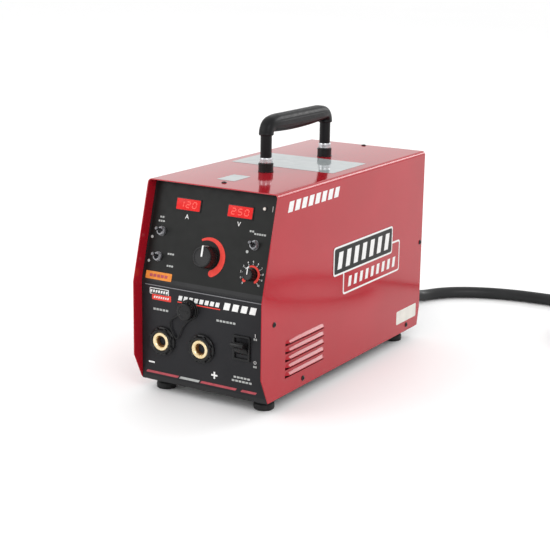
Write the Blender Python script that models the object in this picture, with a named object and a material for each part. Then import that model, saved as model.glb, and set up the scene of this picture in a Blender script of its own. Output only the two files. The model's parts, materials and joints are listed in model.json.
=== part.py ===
"""A portable stick welder, an inverter power source in a bent sheet-metal case.

Everything is in metres with +Z up.  X is the width, seen from the front, and the front faces -Y.
The origin is on the floor under the middle of the case, so the four feet stand on z = 0.
Heights named "from the case bottom" start at the lower edge of the cover, FOOT_HEIGHT above z = 0.
"""
from math import atan2, cos, hypot, pi, radians, sin, tan

import bmesh
import bpy
from mathutils import Matrix, Vector
from mathutils.geometry import interpolate_bezier

# ---------------------------------------------------------------- driving dimensions: the case
CASE_WIDTH = 0.222
CASE_DEPTH = 0.505
CASE_HEIGHT = 0.297             # from the case bottom to the top of the cover
FOOT_HEIGHT = 0.020             # the case bottom above the floor
SHEET = 0.0015                  # all the sheet metal
CLEARANCE = 0.0003              # between pieces that touch on the real machine
COVER_BEND = 0.006              # outside radius where the top bends into the sides

CREASE_HEIGHT = 0.150           # where the front turns from upright to leaning back
TOP_SET_BACK = 0.0395           # how far the front leans back by the top
CHAMFER_HEIGHT = 0.039          # the cut-off lower front corner of the cover's sides
CHAMFER_DEPTH = 0.0195
REAR_CHAMFER_HEIGHT = 0.031
REAR_CHAMFER_DEPTH = 0.007

FRONT_RECESS = 0.019            # the front panel's face behind the cover's front edge
PANEL_THICKNESS = 0.0022
REAR_RECESS = 0.012
PAN_WALL = 0.018                # height of the base pan's turned-up walls
PAN_DROP = SHEET                # the pan's floor hangs its own thickness below the cover

# ---------------------------------------------------------------- louvres, feet, handle
LOUVRE_COUNT = 5
LOUVRE_PITCH = 0.0121
LOUVRE_LENGTH = 0.112
LOUVRE_START = 0.064            # behind the front edge
LOUVRE_LOWEST = 0.0245          # from the case bottom to the lowest slot's lower edge
LOUVRE_SLOT = 0.0055
LOUVRE_PROUD = 0.0030

FOOT_RADIUS = 0.0152
FOOT_INSET_SIDE = 0.025         # from the case's side to the foot's centre
FOOT_INSET_FRONT = 0.048
FOOT_INSET_REAR = 0.047

HANDLE_SPAN = 0.178             # between the two posts
HANDLE_RISE = 0.0845            # top of the grip above the cover
HANDLE_BEHIND_FRONT = 0.273     # the handle's middle behind the front edge
BOSS_RADIUS = 0.0117
BOSS_HEIGHT = 0.0135
COLLAR_RADIUS = 0.0098
COLLAR_HEIGHT = 0.0080
POST_RADIUS = 0.0086
ELBOW_LIP_HEIGHT = 0.056        # lower end of the elbows above the cover
ELBOW_BEND = 0.017
GRIP_HALF_WIDTH = 0.0130
GRIP_HALF_HEIGHT = 0.0142

# ---------------------------------------------------------------- controls on the leaning panel
KNOB_RADIUS = 0.0165
KNOB_HEIGHT = 0.0180
FORCE_KNOB_RADIUS = 0.0088
FORCE_KNOB_HEIGHT = 0.0135
SHAFT_RADIUS = 0.0030
BUSHING_RADIUS = 0.0048
TOGGLE_BUSHING_RADIUS = 0.0058
TOGGLE_BORE = 0.0040
TOGGLE_BUSHING_HEIGHT = 0.0060
TOGGLE_BALL = 0.0034
TOGGLE_PIVOT = 0.0010           # the lever's pivot in front of the panel's face
TOGGLE_REACH = 0.0165           # pivot to the end of the lever
TOGGLE_TILT = radians(12)       # to either side of upright
DISPLAY_WIDTH = 0.0410
DISPLAY_HEIGHT = 0.0162
LAMP_RADIUS = 0.0025
CONTROL_DEPTH = 0.0120          # how far the controls reach behind the panel's face

# Places on the leaning panel: inset from its side edges, in rows that share out the slope,
# each given as how far up the slope it lies.
LEFT_TOGGLE_INSET = 0.0232
RIGHT_TOGGLE_INSET = 0.0352
FORCE_KNOB_INSET = 0.0332
LAMP_INSET = 0.0277
LEFT_DISPLAY_INSET = 0.0632
RIGHT_DISPLAY_INSET = 0.0662
FORCE_KNOB_ROW = 0.2102
LOWER_TOGGLE_ROW = 0.2398
OUTPUT_KNOB_ROW = 0.3055
UPPER_TOGGLE_ROW = 0.4862
DISPLAY_ROW = 0.7687
LAMP_ROW = 0.8278

# ---------------------------------------------------------------- the upright panel
SOCKET_HOUSING_RADIUS = 0.0215
SOCKET_BODY_RADIUS = 0.0172
SOCKET_INSERT_RADIUS = 0.0138
SOCKET_BORE = 0.0077
SOCKET_RIM = 0.0090             # the housing's rim in front of the panel
SOCKET_BRASS_FACE = 0.0078
SOCKET_HEIGHT = 0.0623          # both sockets' axes, from the case bottom
NEGATIVE_SOCKET_INSET = 0.0385
POSITIVE_SOCKET_ACROSS = -0.0015
RECEPTACLE_RADIUS = 0.0107
RECEPTACLE_FLANGE_RADIUS = 0.0155
RECEPTACLE_FLANGE = 0.0020
RECEPTACLE_REACH = 0.0110
RECEPTACLE_FROM_HOUSING = 0.0252    # from the left socket housing's edge, for the lanyard
RECEPTACLE_HEIGHT = 0.1165
CAP_WALL = 0.0020
CAP_FACE = 0.0155               # the cap's outer face in front of the panel
LANYARD_RADIUS = 0.0011
SWITCH_WIDTH = 0.0290
SWITCH_HEIGHT = 0.0370
SWITCH_WALL = 0.0035            # round the paddle's window
SWITCH_FLANGE = 0.0030
SWITCH_DEPTH = 0.0220           # behind the panel's face
SWITCH_INSET = 0.0427
SWITCH_CENTRE_HEIGHT = 0.0745
SWITCH_TILT = radians(20)       # the paddle leans this far up or down
PADDLE_PIVOT = 0.0070           # behind the panel's face
PADDLE_DRUM = 0.0120
PADDLE_REACH = 0.0250

# ---------------------------------------------------------------- the fan and the rear
FAN_SIZE = 0.120
FAN_DEPTH = 0.025
FAN_BORE = 0.0565
FAN_HUB_RADIUS = 0.020
FAN_BLADES = 7
FAN_HEIGHT = 0.185              # the fan's axis from the case bottom
FAN_SHAFT = 0.0019
FAN_MOUNT_DEPTH = 0.0045
GUARD_WIRE = 0.0026
GUARD_RINGS = (0.018, 0.031, 0.044)

# ---------------------------------------------------------------- inside the case
SINK_WIDTH = 0.104
SINK_LENGTH = 0.190
SINK_HEIGHT = 0.042
SINK_PLATE = 0.007
SINK_FINS = 9
SINK_FIN = 0.0026
SINK_MIDDLE = 0.045             # where its middle lies along Y
BOARD_THICKNESS = 0.0016
BOARD_MARGIN = 0.004            # the power board stops this far inside the heat sink's edges
CONTROL_BOARD_MARGIN = 0.012
CAPACITOR_RADIUS = 0.0150
CAPACITOR_HEIGHT = 0.0500
CAPACITOR_SPACING = 0.0340
RECTIFIER_SIZE = (0.030, 0.030, 0.012)
CORE_SIZE = (0.070, 0.030, 0.060)
CORE_WINDOW = (0.014, 0.032)
CORE_PLACE = (0.043, -0.110)
WINDING_WALL = 0.009
CHOKE_OUTER = 0.038
CHOKE_INNER = 0.016
CHOKE_HEIGHT = 0.030
CHOKE_PLACE = (-0.048, -0.105)

# ---------------------------------------------------------------- the mains cord
CORD_RADIUS = 0.0105
CORD_SPACING = 0.022            # between the points the tube is bent at
GLAND_LENGTH = 0.042            # from the rear panel's face to where the cord comes out
GLAND_RADIUS = 0.0175
GLAND_SHANK = 0.0130
GLAND_ACROSS = 0.012
GLAND_HEIGHT = 0.050            # from the case bottom
COIL_RADIUS = 0.115             # to the middle of its turns
COIL_LAYERS = 3
COIL_CENTRE = (0.440, 0.195)    # across, and behind the case's rear edge
PLUG_RADIUS = 0.027
PLUG_BODY = 0.042
PLUG_NECK = 0.022

# The cord's route: across, behind the case's rear edge, and lifted above lying on the floor.
CORD_ROUTE = [
    (0.0120, 0.0303, 0.0594),
    (0.0120, 0.0555, 0.0590),
    (0.0121, 0.0805, 0.0560),
    (0.0123, 0.1055, 0.0480),
    (0.0130, 0.1305, 0.0350),
    (0.0145, 0.1525, 0.0215),
    (0.0170, 0.1725, 0.0098),
    (0.0210, 0.1915, 0.0022),
    (0.0280, 0.2115, 0.0000),
    (0.0385, 0.2305, 0.0000),
    (0.0550, 0.2505, 0.0000),
    (0.0720, 0.2645, 0.0000),
    (0.0910, 0.2765, 0.0000),
    (0.1140, 0.2875, 0.0000),
    (0.1400, 0.2965, 0.0000),
    (0.1760, 0.3045, 0.0000),
    (0.2330, 0.3095, 0.0000),
    (0.3000, 0.3100, 0.0000),
    (0.3700, 0.3100, 0.0000),
]
# The free end leaves the coil's top turn and drops to the plug, which lies on the floor.
TAIL_ROUTE = [
    (0.5550, 0.1255, 0.0424),
    (0.5551, 0.1035, 0.0405),
    (0.5555, 0.0815, 0.0350),
    (0.5560, 0.0595, 0.0275),
    (0.5566, 0.0375, 0.0208),
    (0.5570, 0.0155, 0.0172),
    (0.5571, -0.0075, 0.0165),
]

# ---------------------------------------------------------------- places worked out from the sizes
FRONT = -CASE_DEPTH / 2
REAR = CASE_DEPTH / 2
BOTTOM = FOOT_HEIGHT
TOP = BOTTOM + CASE_HEIGHT
CREASE = BOTTOM + CREASE_HEIGHT
PANEL_FACE = FRONT + FRONT_RECESS
REAR_FACE = REAR - REAR_RECESS
INNER_HALF_WIDTH = CASE_WIDTH / 2 - SHEET - CLEARANCE
INNER_TOP = TOP - SHEET - CLEARANCE
PAN_UNDERSIDE = BOTTOM - PAN_DROP
LEAN = atan2(TOP_SET_BACK, CASE_HEIGHT - CREASE_HEIGHT)
SLOPE_LENGTH = hypot(TOP_SET_BACK, CASE_HEIGHT - CREASE_HEIGHT)
PAN_FLOOR = PAN_UNDERSIDE + SHEET + CLEARANCE   # where the inside pieces stand
BEHIND_PANEL = -PANEL_THICKNESS - CLEARANCE     # where a control's body begins, out of the face
HANDLE_MIDDLE = FRONT + HANDLE_BEHIND_FRONT
LYING = CORD_RADIUS + CLEARANCE                 # height of the cord's middle on the floor

# Places on the leaning panel, across and along.
TOGGLES = {
    "upper_left": (LEFT_TOGGLE_INSET - INNER_HALF_WIDTH, UPPER_TOGGLE_ROW * SLOPE_LENGTH),
    "lower_left": (LEFT_TOGGLE_INSET - INNER_HALF_WIDTH, LOWER_TOGGLE_ROW * SLOPE_LENGTH),
    "right": (INNER_HALF_WIDTH - RIGHT_TOGGLE_INSET, UPPER_TOGGLE_ROW * SLOPE_LENGTH),
}
OUTPUT_KNOB = (0, OUTPUT_KNOB_ROW * SLOPE_LENGTH)
FORCE_KNOB = (INNER_HALF_WIDTH - FORCE_KNOB_INSET, FORCE_KNOB_ROW * SLOPE_LENGTH)
DISPLAYS = {
    "left": (LEFT_DISPLAY_INSET - INNER_HALF_WIDTH, DISPLAY_ROW * SLOPE_LENGTH),
    "right": (INNER_HALF_WIDTH - RIGHT_DISPLAY_INSET, DISPLAY_ROW * SLOPE_LENGTH),
}
LAMP = (INNER_HALF_WIDTH - LAMP_INSET, LAMP_ROW * SLOPE_LENGTH)
# Places on the upright panel, across and up from the case bottom.
SOCKETS = {
    "negative": (NEGATIVE_SOCKET_INSET - INNER_HALF_WIDTH, SOCKET_HEIGHT),
    "positive": (POSITIVE_SOCKET_ACROSS, SOCKET_HEIGHT),
}
RECEPTACLE = (
    SOCKETS["negative"][0] + SOCKET_HOUSING_RADIUS + RECEPTACLE_FROM_HOUSING,
    RECEPTACLE_HEIGHT,
)
SWITCH = (INNER_HALF_WIDTH - SWITCH_INSET, SWITCH_CENTRE_HEIGHT)


# ================================================================ materials
def material(name, colour, roughness, metallic=0.0):
    made = bpy.data.materials.get(name)
    if made is None:
        made = bpy.data.materials.new(name)
        made.use_nodes = True
        shader = made.node_tree.nodes["Principled BSDF"]
        shader.inputs["Base Color"].default_value = (*colour, 1.0)
        shader.inputs["Roughness"].default_value = roughness
        shader.inputs["Metallic"].default_value = metallic
    return made


def red_paint():
    return material("red_paint", (0.55, 0.015, 0.025), 0.22)


def black_paint():
    return material("black_paint", (0.018, 0.018, 0.020), 0.45)


def black_plastic():
    return material("black_plastic", (0.015, 0.015, 0.016), 0.50)


def black_rubber():
    return material("black_rubber", (0.012, 0.012, 0.012), 0.80)


def brass():
    return material("brass", (0.80, 0.58, 0.27), 0.30, 1.0)


def bright_steel():
    return material("bright_steel", (0.72, 0.72, 0.72), 0.30, 1.0)


def aluminium():
    return material("aluminium", (0.78, 0.79, 0.80), 0.40, 1.0)


def copper():
    return material("copper", (0.72, 0.33, 0.18), 0.35, 1.0)


def ferrite():
    return material("ferrite", (0.06, 0.06, 0.065), 0.70)


def circuit_board():
    return material("circuit_board", (0.02, 0.16, 0.07), 0.55)


def red_lens():
    return material("red_lens", (0.60, 0.02, 0.02), 0.15)


def grey_cord():
    return material("grey_cord", (0.20, 0.20, 0.20), 0.70)


# ================================================================ making solids
def place(origin, right, up):
    """A matrix whose X, Y and Z are right, up and straight out of a face."""
    right = Vector(right).normalized()
    up = Vector(up).normalized()
    out = right.cross(up)
    matrix = Matrix((right, up, out)).transposed().to_4x4()
    matrix.translation = Vector(origin)
    return matrix


def on_slope(across, along):
    """A place on the leaning control panel: across from its middle, along it from the crease."""
    origin = (across, PANEL_FACE + along * sin(LEAN), CREASE + along * cos(LEAN))
    return place(origin, (1, 0, 0), (0, sin(LEAN), cos(LEAN)))


def on_front(across, height):
    """A place on the upright output panel, the height measured from the case bottom."""
    return place((across, PANEL_FACE, BOTTOM + height), (1, 0, 0), (0, 0, 1))


def on_rear(across, height):
    """A place on the rear panel, looking out of it; across is still the world's X."""
    return place((across, REAR_FACE, BOTTOM + height), (-1, 0, 0), (0, 0, 1))


def upright(x, y, z):
    return Matrix.Translation((x, y, z))


def solid(name, mesh_builder, finish, matrix=None, smooth=True):
    """An object from a bmesh, with its faces turned outwards."""
    bmesh.ops.recalc_face_normals(mesh_builder, faces=mesh_builder.faces)
    mesh = bpy.data.meshes.new(name)
    mesh_builder.to_mesh(mesh)
    mesh_builder.free()
    mesh.materials.append(finish)
    if smooth:
        mesh.shade_smooth()
        mesh.set_sharp_from_angle(angle=radians(35))
    made = bpy.data.objects.new(name, mesh)
    bpy.context.scene.collection.objects.link(made)
    if matrix is not None:
        made.matrix_world = matrix
    return made


def prism(outline, low, high):
    """A bmesh: an outline in local X and Y, extruded from low to high along local Z."""
    made = bmesh.new()
    corners = [made.verts.new((x, y, low)) for x, y in outline]
    base = made.faces.new(corners)
    grown = bmesh.ops.extrude_face_region(made, geom=[base])
    moved = [part for part in grown["geom"] if isinstance(part, bmesh.types.BMVert)]
    bmesh.ops.translate(made, verts=moved, vec=(0, 0, high - low))
    return made


def block(centre, size):
    """A bmesh: a box by its centre and its three sizes."""
    made = bmesh.new()
    bmesh.ops.create_cube(made, size=1.0)
    bmesh.ops.scale(made, vec=size, verts=made.verts)
    bmesh.ops.translate(made, vec=centre, verts=made.verts)
    return made


def turned(profile, sides, ring=False):
    """A bmesh: radius and height pairs turned about local Z.  A ring's profile is closed."""
    made = bmesh.new()
    rows = []
    for radius, height in profile:
        if radius == 0:
            rows.append([made.verts.new((0, 0, height))])
            continue
        angles = [2 * pi * step / sides for step in range(sides)]
        rows.append([made.verts.new((radius * cos(a), radius * sin(a), height)) for a in angles])
    pairs = list(zip(rows, rows[1:]))
    if ring:
        pairs.append((rows[-1], rows[0]))
    for lower, upper in pairs:
        for step in range(sides):
            after = (step + 1) % sides
            if len(lower) == 1:
                made.faces.new((lower[0], upper[step], upper[after]))
            elif len(upper) == 1:
                made.faces.new((lower[step], lower[after], upper[0]))
            else:
                made.faces.new((lower[step], lower[after], upper[after], upper[step]))
    return made


def rod(radius, low, high, sides=24):
    """A bmesh: a plain cylinder about local Z."""
    return turned([(0, low), (radius, low), (radius, high), (0, high)], sides)


def rounded_box_outline(half_width, half_height, radius, steps=4):
    """The outline of a rectangle with rounded corners."""
    points = []
    for turn, (sx, sy) in enumerate([(1, 1), (-1, 1), (-1, -1), (1, -1)]):
        middle = (sx * (half_width - radius), sy * (half_height - radius))
        for step in range(steps + 1):
            angle = pi / 2 * (turn + step / steps)
            points.append((middle[0] + radius * cos(angle), middle[1] + radius * sin(angle)))
    return points


def boolean(target, other, operation):
    """Cut, join or intersect two objects for good, and drop the second one."""
    other.hide_render = True
    other.display_type = "WIRE"
    change = target.modifiers.new(operation.lower(), "BOOLEAN")
    change.operation = operation
    change.solver = "EXACT"
    change.object = other
    bpy.context.view_layer.update()
    settled = target.evaluated_get(bpy.context.evaluated_depsgraph_get())
    mesh = bpy.data.meshes.new_from_object(settled)
    target.modifiers.clear()
    mesh.set_sharp_from_angle(angle=radians(35))
    target.data = mesh
    bpy.data.objects.remove(other)
    return target


def cut(target, builder, matrix=None):
    return boolean(target, solid("cutter", builder, black_paint(), matrix), "DIFFERENCE")


def join(target, builder, matrix=None):
    finish = target.data.materials[0]
    return boolean(target, solid("addition", builder, finish, matrix), "UNION")


# ================================================================ the case
def top_outline(half_width, low, high, radius, steps=5):
    """Width and height points of an upright outline with two rounded top corners."""
    points = [(-half_width, low), (half_width, low)]
    for side, start in ((1, 0.0), (-1, pi / 2)):
        for step in range(steps + 1):
            angle = start + pi / 2 * step / steps
            x = side * (half_width - radius) + radius * cos(angle)
            points.append((x, high - radius + radius * sin(angle)))
    return points


ACROSS_DEPTH = place((0, 0, 0), (1, 0, 0), (0, 0, 1))       # local X, Y, Z = world X, Z, -Y
ACROSS_WIDTH = place((0, 0, 0), (0, 1, 0), (0, 0, 1))       # local X, Y, Z = world Y, Z, X


def build_cover():
    """The wrap: the top and both sides in one bent sheet, cut to the side's outline."""
    outer = top_outline(CASE_WIDTH / 2, BOTTOM, TOP, COVER_BEND)
    inner = top_outline(CASE_WIDTH / 2 - SHEET, BOTTOM, TOP - SHEET, COVER_BEND - SHEET)
    wrap = outer[1:] + [outer[0]] + [inner[0]] + inner[:1:-1] + [inner[1]]
    cover = solid("cover", prism(wrap, -REAR, -FRONT), red_paint(), ACROSS_DEPTH)
    beyond = CASE_WIDTH
    side = [
        (FRONT + CHAMFER_DEPTH, BOTTOM),
        (REAR - REAR_CHAMFER_DEPTH, BOTTOM),
        (REAR, BOTTOM + REAR_CHAMFER_HEIGHT),
        (REAR, TOP + beyond),
        (FRONT + TOP_SET_BACK + beyond * tan(LEAN), TOP + beyond),
        (FRONT, CREASE),
        (FRONT, BOTTOM + CHAMFER_HEIGHT),
    ]
    # The lower edge is drawn a little low, so that the two bottoms never lie in one plane.
    side = [(y, z - SHEET if z == BOTTOM else z) for y, z in side]
    outline = solid("side_outline", prism(side, -beyond, beyond), red_paint(), ACROSS_WIDTH)
    boolean(cover, outline, "INTERSECT")
    for hand in (-1, 1):
        for row in range(LOUVRE_COUNT):
            low = BOTTOM + LOUVRE_LOWEST + row * LOUVRE_PITCH
            add_louvre(cover, hand, low)
    return cover


def add_louvre(cover, hand, low):
    """One slot with the hood that is pressed out over it."""
    face = hand * CASE_WIDTH / 2
    middle = FRONT + LOUVRE_START + LOUVRE_LENGTH / 2
    slot = block((face, middle, low + LOUVRE_SLOT / 2), (4 * SHEET, LOUVRE_LENGTH, LOUVRE_SLOT))
    cut(cover, slot)
    root = face - hand * SHEET / 2
    lip = face + hand * LOUVRE_PROUD
    under = low + LOUVRE_SLOT + CLEARANCE
    hood = [
        (root, under),
        (root, under + SHEET),
        (lip, low + 2 * SHEET),
        (lip, low + SHEET),
    ]
    start = -(FRONT + LOUVRE_START)
    join(cover, prism(hood, start - LOUVRE_LENGTH, start), ACROSS_DEPTH)


def build_base_pan():
    """The floor of the case, with four turned-up walls inside the cover and the panels."""
    front = PANEL_FACE + PANEL_THICKNESS + CLEARANCE
    rear = REAR_FACE - SHEET - CLEARANCE
    middle = (front + rear) / 2
    floor = PAN_UNDERSIDE + SHEET
    height = PAN_WALL + PAN_DROP
    outer = block((0, middle, PAN_UNDERSIDE + height / 2), (2 * INNER_HALF_WIDTH, rear - front, height))
    pan = solid("base_pan", outer, black_paint(), smooth=False)
    inside = (2 * (INNER_HALF_WIDTH - SHEET), rear - front - 2 * SHEET, height)
    return cut(pan, block((0, middle, floor + height / 2), inside))


def inside_cover(low):
    """The outline of a panel that fits in the cover with a small gap all round."""
    return top_outline(INNER_HALF_WIDTH, low, INNER_TOP, COVER_BEND - SHEET - CLEARANCE)


def build_front_panel():
    """The upright output panel and the leaning control panel: one bent sheet and its holes."""
    miter = CREASE - PANEL_THICKNESS * tan(LEAN / 2)
    high = TOP + SHEET
    leaned = PANEL_FACE + (high - CREASE) * tan(LEAN)
    profile = [
        (PANEL_FACE, PAN_UNDERSIDE - SHEET),
        (PANEL_FACE + PANEL_THICKNESS, PAN_UNDERSIDE - SHEET),
        (PANEL_FACE + PANEL_THICKNESS, miter),
        (leaned + PANEL_THICKNESS / cos(LEAN), high),
        (leaned, high),
        (PANEL_FACE, CREASE),
    ]
    bent = prism(profile, -CASE_WIDTH, CASE_WIDTH)
    panel = solid("front_panel", bent, black_paint(), ACROSS_WIDTH, smooth=False)
    outline = prism(inside_cover(PAN_UNDERSIDE), -REAR, -FRONT)
    boolean(panel, solid("outline", outline, black_paint(), ACROSS_DEPTH), "INTERSECT")
    depth = 4 * PANEL_THICKNESS
    for matrix, radius in round_holes():
        cut(panel, rod(radius + CLEARANCE, -depth, depth, 24), matrix)
    for matrix, width, height in square_holes():
        opening = (width + 2 * CLEARANCE, height + 2 * CLEARANCE, 2 * depth)
        cut(panel, block((0, 0, 0), opening), matrix)
    return panel


def round_holes():
    """Where something round passes through the front panel, and how big it is there."""
    holes = [
        (on_slope(*OUTPUT_KNOB), BUSHING_RADIUS),
        (on_slope(*FORCE_KNOB), BUSHING_RADIUS),
        (on_slope(*LAMP), LAMP_RADIUS),
        (on_front(*RECEPTACLE), RECEPTACLE_RADIUS),
    ]
    holes += [(on_slope(*spot), TOGGLE_BUSHING_RADIUS) for spot in TOGGLES.values()]
    holes += [(on_front(*spot), SOCKET_BODY_RADIUS) for spot in SOCKETS.values()]
    return holes


def square_holes():
    """Where something square passes through the front panel, with its width and height."""
    holes = [(on_slope(*spot), DISPLAY_WIDTH, DISPLAY_HEIGHT) for spot in DISPLAYS.values()]
    width = SWITCH_WIDTH - SWITCH_WALL
    height = SWITCH_HEIGHT - SWITCH_WALL
    holes.append((on_front(*SWITCH), width, height))
    return holes


def build_rear_panel():
    outline = prism(inside_cover(PAN_UNDERSIDE), -REAR_FACE, -REAR_FACE + SHEET)
    panel = solid("rear_panel", outline, black_paint(), ACROSS_DEPTH, smooth=False)
    cut(panel, rod(FAN_BORE, -FAN_DEPTH, FAN_DEPTH, 32), on_rear(0, FAN_HEIGHT))
    gland_hole = rod(GLAND_SHANK + CLEARANCE, -FAN_DEPTH, FAN_DEPTH, 32)
    return cut(panel, gland_hole, on_rear(GLAND_ACROSS, GLAND_HEIGHT))


def build_feet():
    """Four rubber feet under the pan, a little wider where they stand."""
    high = PAN_UNDERSIDE - CLEARANCE
    taper = 0.0015
    profile = [
        (0, 0),
        (FOOT_RADIUS - taper / 2, 0),
        (FOOT_RADIUS, taper / 2),
        (FOOT_RADIUS - taper, high),
        (0, high),
    ]
    across = CASE_WIDTH / 2 - FOOT_INSET_SIDE
    rows = {"front": FRONT + FOOT_INSET_FRONT, "rear": REAR - FOOT_INSET_REAR}
    for end, along in rows.items():
        for hand, side in (("left", -across), ("right", across)):
            spot = upright(side, along, 0)
            solid("foot_" + end + "_" + hand, turned(profile, 20), black_rubber(), spot)


# ================================================================ the carrying handle
def build_handle():
    """Two steel posts on the cover, each through a boss and a collar, and the moulded grip."""
    for end, direction in (("front", -1), ("rear", 1)):
        spot = upright(0, HANDLE_MIDDLE + direction * HANDLE_SPAN / 2, TOP)
        bore = POST_RADIUS + CLEARANCE
        bevel = 0.0012
        boss = [
            (bore, CLEARANCE),
            (BOSS_RADIUS, CLEARANCE),
            (BOSS_RADIUS, BOSS_HEIGHT - bevel),
            (BOSS_RADIUS - bevel, BOSS_HEIGHT),
            (bore, BOSS_HEIGHT),
        ]
        low = BOSS_HEIGHT + CLEARANCE
        collar = [
            (bore, low),
            (COLLAR_RADIUS, low),
            (COLLAR_RADIUS, low + COLLAR_HEIGHT),
            (bore, low + COLLAR_HEIGHT),
        ]
        post = rod(POST_RADIUS, CLEARANCE, ELBOW_LIP_HEIGHT - CLEARANCE, 20)
        solid("handle_boss_" + end, turned(boss, 20, ring=True), black_plastic(), spot)
        solid("handle_collar_" + end, turned(collar, 20, ring=True), bright_steel(), spot)
        solid("handle_post_" + end, post, black_paint(), spot)
    build_grip()


def build_grip():
    """The grip: an oval bar that turns down into an elbow over each post."""
    top = HANDLE_RISE - GRIP_HALF_HEIGHT
    half = HANDLE_SPAN / 2
    end_height = 0.0100
    stations = []
    turns = 6
    stations.append((half, ELBOW_LIP_HEIGHT, 0.0))
    for step in range(turns + 1):
        angle = pi / 2 * step / turns
        along = half - ELBOW_BEND * (1 - cos(angle))
        high = top - ELBOW_BEND * (1 - sin(angle))
        stations.append((along, max(high, ELBOW_LIP_HEIGHT + 0.001), angle))
    stations.append((half / 3, top, pi / 2))
    stations += [(-along, high, pi - angle) for along, high, angle in reversed(stations)]
    made = bmesh.new()
    sides = 16
    rings = []
    for along, high, angle in stations:
        swell = 1 - (along / half) ** 2
        thick = end_height + (GRIP_HALF_HEIGHT - end_height) * min(1.0, 2.2 * swell)
        wide = GRIP_HALF_WIDTH * (0.86 + 0.14 * min(1.0, 2.2 * swell))
        ring = []
        for side in range(sides):
            around = 2 * pi * side / sides
            out = thick * sin(around)
            spot = (wide * cos(around), along + out * cos(angle), high + out * sin(angle))
            ring.append(made.verts.new(spot))
        rings.append(ring)
    for one, two in zip(rings, rings[1:]):
        for side in range(sides):
            after = (side + 1) % sides
            made.faces.new((one[side], one[after], two[after], two[side]))
    made.faces.new(rings[0])
    made.faces.new(rings[-1])
    solid("handle_grip", made, black_rubber(), upright(0, HANDLE_MIDDLE, TOP))


# ================================================================ the controls
def build_potentiometer(name, spot, knob_height):
    """The part behind the panel, its threaded bushing and the shaft that carries the knob."""
    body = 0.0120
    profile = [
        (0, -CONTROL_DEPTH),
        (body, -CONTROL_DEPTH),
        (body, BEHIND_PANEL),
        (BUSHING_RADIUS, BEHIND_PANEL),
        (BUSHING_RADIUS, CLEARANCE),
        (SHAFT_RADIUS, CLEARANCE),
        (SHAFT_RADIUS, knob_height / 2),
        (0, knob_height / 2),
    ]
    solid(name, turned(profile, 16), bright_steel(), on_slope(*spot))


def build_knob(name, spot, radius, height):
    """A moulded knob with a blind bore for its shaft."""
    bore = SHAFT_RADIUS + CLEARANCE
    low = 3 * CLEARANCE
    edge = 0.0012
    profile = [
        (0, height / 2 + CLEARANCE),
        (bore, height / 2 + CLEARANCE),
        (bore, low),
        (radius, low),
        (radius * 0.97, height - edge),
        (radius * 0.97 - edge, height),
        (0, height),
    ]
    solid(name, turned(profile, 28), black_plastic(), on_slope(*spot))


def build_toggle(name, spot):
    """A toggle switch: the bushing with its body behind the panel, and the lever."""
    body = 0.0075
    pocket = TOGGLE_PIVOT - TOGGLE_BALL - 2 * CLEARANCE
    profile = [
        (0, -CONTROL_DEPTH),
        (body, -CONTROL_DEPTH),
        (body, BEHIND_PANEL),
        (TOGGLE_BUSHING_RADIUS, BEHIND_PANEL),
        (TOGGLE_BUSHING_RADIUS, TOGGLE_BUSHING_HEIGHT),
        (TOGGLE_BORE, TOGGLE_BUSHING_HEIGHT),
        (TOGGLE_BORE, pocket),
        (0, pocket),
    ]
    solid("toggle_body_" + name, turned(profile, 16), bright_steel(), on_slope(*spot))
    neck = 0.0015
    tip = 0.0027
    lever = [(0, -TOGGLE_BALL)]
    for step in range(1, 5):
        angle = pi * step / 6
        lever.append((TOGGLE_BALL * sin(angle), -TOGGLE_BALL * cos(angle)))
    lever += [
        (neck, TOGGLE_BALL),
        (tip, TOGGLE_REACH - 2 * tip),
        (tip, TOGGLE_REACH - tip),
        (tip * 0.6, TOGGLE_REACH - tip * 0.2),
        (0, TOGGLE_REACH),
    ]
    pivot = on_slope(*spot) @ Matrix.Translation((0, 0, TOGGLE_PIVOT))
    pivot = pivot @ Matrix.Rotation(-TOGGLE_TILT, 4, "X")
    solid("toggle_lever_" + name, turned(lever, 12), bright_steel(), pivot)


def build_display(name, spot):
    """A red window for the digits, held by a rim behind the panel."""
    rim = 0.0025
    deep = CONTROL_DEPTH - 2 * rim
    front = block((0, 0, -deep / 2), (DISPLAY_WIDTH, DISPLAY_HEIGHT, deep + 2 * CLEARANCE))
    lens = solid("display_" + name, front, red_lens(), on_slope(*spot), smooth=False)
    low = -deep - rim
    size = (DISPLAY_WIDTH + 2 * rim, DISPLAY_HEIGHT + 2 * rim, BEHIND_PANEL - low)
    join(lens, block((0, 0, (low + BEHIND_PANEL) / 2), size), on_slope(*spot))


def build_lamp():
    rim = 0.0015
    profile = [
        (0, -CONTROL_DEPTH),
        (LAMP_RADIUS + rim, -CONTROL_DEPTH),
        (LAMP_RADIUS + rim, BEHIND_PANEL),
        (LAMP_RADIUS, BEHIND_PANEL),
        (LAMP_RADIUS, 0),
        (LAMP_RADIUS * 0.75, LAMP_RADIUS * 0.35),
        (0, LAMP_RADIUS * 0.5),
    ]
    solid("status_lamp", turned(profile, 12), red_lens(), on_slope(*LAMP))


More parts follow.
